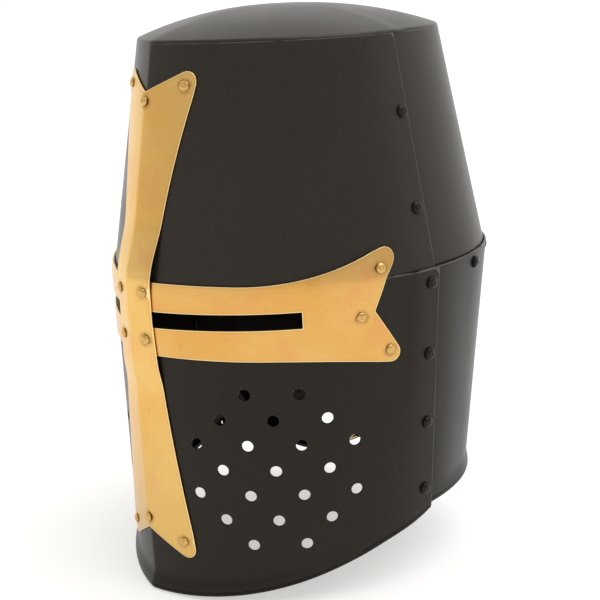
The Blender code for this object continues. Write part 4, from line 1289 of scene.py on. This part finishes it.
def ribbon(name, path, holes, slot, end_half=None):
    """A leather strap along a path, rounded at its rivet; end_half narrows its other end."""
    line, gone = smooth_path(path)
    length, half = gone[-1], STRAP_WIDTH / 2
    end = [(length, -half, 0.0012), (length, half, 0.0012)]
    if end_half:
        end = [(length - 0.016, -half, 0.004), (length, -end_half, 0.0016), (length, end_half, 0.0016),
               (length - 0.016, half, 0.004)]
    corners = [(0, -half, 0.007), *end, (0, half, 0.007)]

    def surface(gone_at, across):
        along = np.interp(gone_at, gone, line[:, 0])
        out = np.interp(gone_at, gone, line[:, 1])
        return strap_point(along, out, across)

    cuts = [circle(at, 0, radius, 16) for at, radius in holes]
    low, high, w = slot
    cuts.append(rounded([(low, -w, 0.0006), (high, -w, 0.0006), (high, w, 0.0006), (low, w, 0.0006)], 3))
    outline = rounded(corners, 8)
    grid = lattice(steps(0, length, FINE_PITCH), steps(-half, half, FINE_PITCH))
    item = bent_sheet(name + "_fine", outline, surface, grid[inside(grid, outline)], cuts, (), FINE_PITCH)
    show(thicken(item, LEATHER, 0.0, SOFT_ROUNDING, even=False), name, "strap_leather")
    return surface


def strap_face(surface, gone_at, across):
    """The strap's outer face, where its thread lies."""
    middle = surface(gone_at, across)
    outward = np.stack([middle[:, 0] / STRAP_HALF_SPAN ** 2, middle[:, 0] * 0,
                        (middle[:, 2] - SEAM_RIVET_HEIGHT) / STRAP_DROP ** 2], 1)
    return middle + outward / np.linalg.norm(outward, axis=1)[:, None] * LEATHER / 2


def gone_where(gone, line, along, last=False):
    """The distance gone at which the path passes this along; the last such place if asked."""
    hits = np.nonzero(np.diff(np.sign(line[:, 0] - along)))[0]
    return float(gone[hits[-1 if last else 0]])


def strap_left():
    """The short half: it folds round the buckle's bar and is sewn back on itself."""
    bar = BUCKLE_ALONG
    path = [(STRAP_HALF_LENGTH + STRAP_END, 0.0)]
    path += [(a, 0.0) for a in spread(STRAP_HALF_LENGTH, bar + 0.034, 7)]
    path += [(bar + 0.026, 0.00120), (bar + 0.008, 0.00130)]
    for turn in np.radians((80, 120, 160, 200, 240, 280)):
        path.append((bar + FOLD_RADIUS * math.cos(turn), FOLD_RADIUS * math.sin(turn)))
    path += [(bar + 0.008, -0.00130), (bar + 0.024, -0.00120)]
    line, gone = smooth_path(path)
    fold, turned_back = gone_where(gone, line, bar), gone_where(gone, line, bar, last=True)
    surface = ribbon("chin_strap_left", path, [STRAP_RIVET_HOLE],
                     (fold - 0.0015, turned_back + 0.0015, 0.0017))
    places = np.array([(g, y) for y in (-0.0072, 0.0072)
                       for g in np.arange(fold - 0.021, fold - 0.008, 0.0038)])
    add_stitches("chin_strap_stitches_left", places, lambda gone_at, y: strap_face(surface, gone_at, y),
                 "strap_thread")


def strap_right():
    """The long half: up through the buckle, over its bar and on through the keeper to its point."""
    bar = BUCKLE_ALONG
    path = [(-STRAP_HALF_LENGTH - STRAP_END, 0.0)]
    path += [(a, 0.0) for a in spread(-STRAP_HALF_LENGTH, bar - 0.034, 18)]
    path += [(bar + along, out) for along, out in STRAP_WEAVE]
    line, gone = smooth_path(path)
    holes = [STRAP_RIVET_HOLE] + [(gone_where(gone, line, bar + a), 0.0016) for a in STRAP_PRONG_HOLES]
    prong = gone_where(gone, line, bar - 0.0087)
    ribbon("chin_strap_right", path, holes, (prong - 0.0055, prong + 0.0055, 0.0014),
           STRAP_WIDTH / 2 * 0.45)


def buckle_point(along, out, across=0.0):
    return Vector(strap_point(BUCKLE_ALONG + along, out, across))


def buckle():
    half = BUCKLE_HALF_WIDTH
    corners = [(0.0, -half, 0.003), (0.0, half, 0.003), (-BUCKLE_LENGTH, half, 0.003),
               (-BUCKLE_LENGTH, -half, 0.003)]
    ring = densify(rounded(corners, 8), 0.0012)
    add_wire("buckle_frame", [buckle_point(x, 0.0, y) for x, y in ring], BUCKLE_WIRE, True)
    hook = BUCKLE_WIRE + GAP + PRONG_WIRE
    path = [(-BUCKLE_LENGTH - 0.0025, hook - 0.0001)]
    path += [(x, hook) for x in spread(-BUCKLE_LENGTH, -0.001, 8)]
    path += [(hook * math.cos(a), hook * math.sin(a)) for a in np.radians(spread(90, -140, 18))]
    add_wire("buckle_prong", [buckle_point(*p) for p in path], PRONG_WIRE, False)


def strap_keeper():
    half = STRAP_WIDTH / 2 + 0.0014
    ring = rounded([(-half, -0.0033, 0.0014), (half, -0.0033, 0.0014), (half, 0.0062, 0.0014),
                    (-half, 0.0062, 0.0014)], 5)
    ring = densify(ring, 0.0015)
    rows = [[buckle_point(along, out, y) for y, out in ring] for along in spread(0.014, 0.022, 6)]
    mesh = grid_mesh("strap_keeper", rows, closed=True)
    write_measure(mesh, "edge", [e for e in (0, 0.0016, 0.0032, 0.0032, 0.0016, 0) for _ in ring])
    item = thicken(add_object("strap_keeper_fine", mesh), 0.0010, rounding=0.0003)
    show(item, "strap_keeper", "strap_leather")


def add_wire(name, points, radius, closed):
    """A bent wire of round section, its free ends rounded."""
    rings, count = [], len(points)
    for i, here in enumerate(points):
        before = points[i - 1] if closed or i else here
        after = points[(i + 1) % count] if closed or i < count - 1 else here
        axis = (after - before).normalized()
        reference = strap_facing(here) if closed else Vector((0, 1, 0))
        first = (reference - axis * reference.dot(axis)).normalized()
        rings.append(ring_about(here, first, axis.cross(first), radius, 16))
    if not closed:
        rings = round_end(rings, 0, radius) + rings[1:-1] + round_end(rings, -1, radius)
    mesh = grid_mesh(name, rings, closed=True, loop=closed, ends=not closed)
    show(add_object(name + "_fine", mesh), name, "buckle_brass")


def strap_facing(here):
    """The direction straight out from the hanging loop."""
    return Vector((here.x / STRAP_HALF_SPAN ** 2, 0, (here.z - SEAM_RIVET_HEIGHT) / STRAP_DROP ** 2))


def round_end(rings, end, radius):
    """Draws a wire's last ring in to a dome."""
    middle = sum(rings[end], Vector()) / len(rings[end])
    nearby = sum(rings[1 if end == 0 else -2], Vector()) / len(rings[end])
    outward = (middle - nearby).normalized()
    dome = []
    for angle in (0, 35, 62, 80):
        turn = math.radians(angle)
        shift = outward * radius * (math.sin(turn) - 1) * 0.9
        dome.append([middle + shift + (p - middle) * math.cos(turn) for p in rings[end]])
    return dome[::-1] if end == 0 else dome


# ---------------------------------------------------------------- assembly
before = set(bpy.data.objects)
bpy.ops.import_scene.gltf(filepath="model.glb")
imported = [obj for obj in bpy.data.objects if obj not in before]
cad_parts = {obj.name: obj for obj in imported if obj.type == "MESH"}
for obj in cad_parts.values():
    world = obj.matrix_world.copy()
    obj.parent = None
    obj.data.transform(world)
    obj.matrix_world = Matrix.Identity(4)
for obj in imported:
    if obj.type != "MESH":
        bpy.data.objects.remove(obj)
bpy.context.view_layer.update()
add_camera()
add_studio()

waxed_thread = thread("waxed_thread", (0.52, 0.44, 0.31))

# Each look's material, the record's slot that it stands for, and the body that it rides on
LOOKS = {
    "black": (powder_coat("black_powder_coat"), "black_steel", HELM),
    # A darker copy of the black for the lower walls: painted shade.
    "black_painted_shade_low": (powder_coat("black_powder_coat_painted_shade_low", shade=0.62, ior=1.32), "black_steel", HELM),
    # A still darker copy of the black for the rolled rim: painted shade.
    "black_rim_painted_shade": (powder_coat("black_powder_coat_rim_painted_shade", 0.36, shade=0.42, ior=1.22), "black_steel", HELM),
    "brass_along": (sheet_brass("brass_brushed_along", (60, 2600, 1), (0.88, 0.84, 0.80)),
                    "cross_brass", HELM),
    "brass_up": (sheet_brass("brass_brushed_up", (2600, 60, 1), (0.96, 1.0, 0.98)), "cross_brass", HELM),
    "steel_rivet": (powder_coat("black_rivet_coat", 0.27, 0.0, 0.45, 1.30), "steel_rivet", HELM),
    "brass_rivet": (small_brass("rivet_brass", (0.66, 0.42, 0.14), 0.28), "brass_rivet", HELM),
    "buckle_brass": (small_brass("buckle_brass_finish", (0.78, 0.55, 0.24), 0.26), "buckle_brass", STRAP),
    "liner_leather": (leather("liner_hide", (0.110, 0.052, 0.022), (0.190, 0.098, 0.045), 520, 0.52),
                      "liner_leather", HELM),
    "strap_leather": (leather("strap_hide", (0.020, 0.016, 0.013), (0.040, 0.031, 0.025), 760, 0.42),
                      "strap_leather", STRAP),
    "liner_thread": (waxed_thread, "liner_leather", HELM),
    "strap_thread": (waxed_thread, "strap_leather", STRAP),
}

top_plate()
upper_plate("upper_back_plate", BACK_SPAN, LIFT_UPPER_BACK, upper_back_lift, back_pattern, back_along)
upper_plate("upper_front_plate", FRONT_SPAN, LIFT_UPPER_FRONT, upper_front_lift, front_pattern,
            front_along)
lower_back_plate()
lower_front_plate()
cross_arm("cross_arm_left", 1)
cross_arm("cross_arm_right", -1)
cross_upright()
add_rivets()
liner()
crown_patch()
strap_left()
strap_right()
buckle()
strap_keeper()
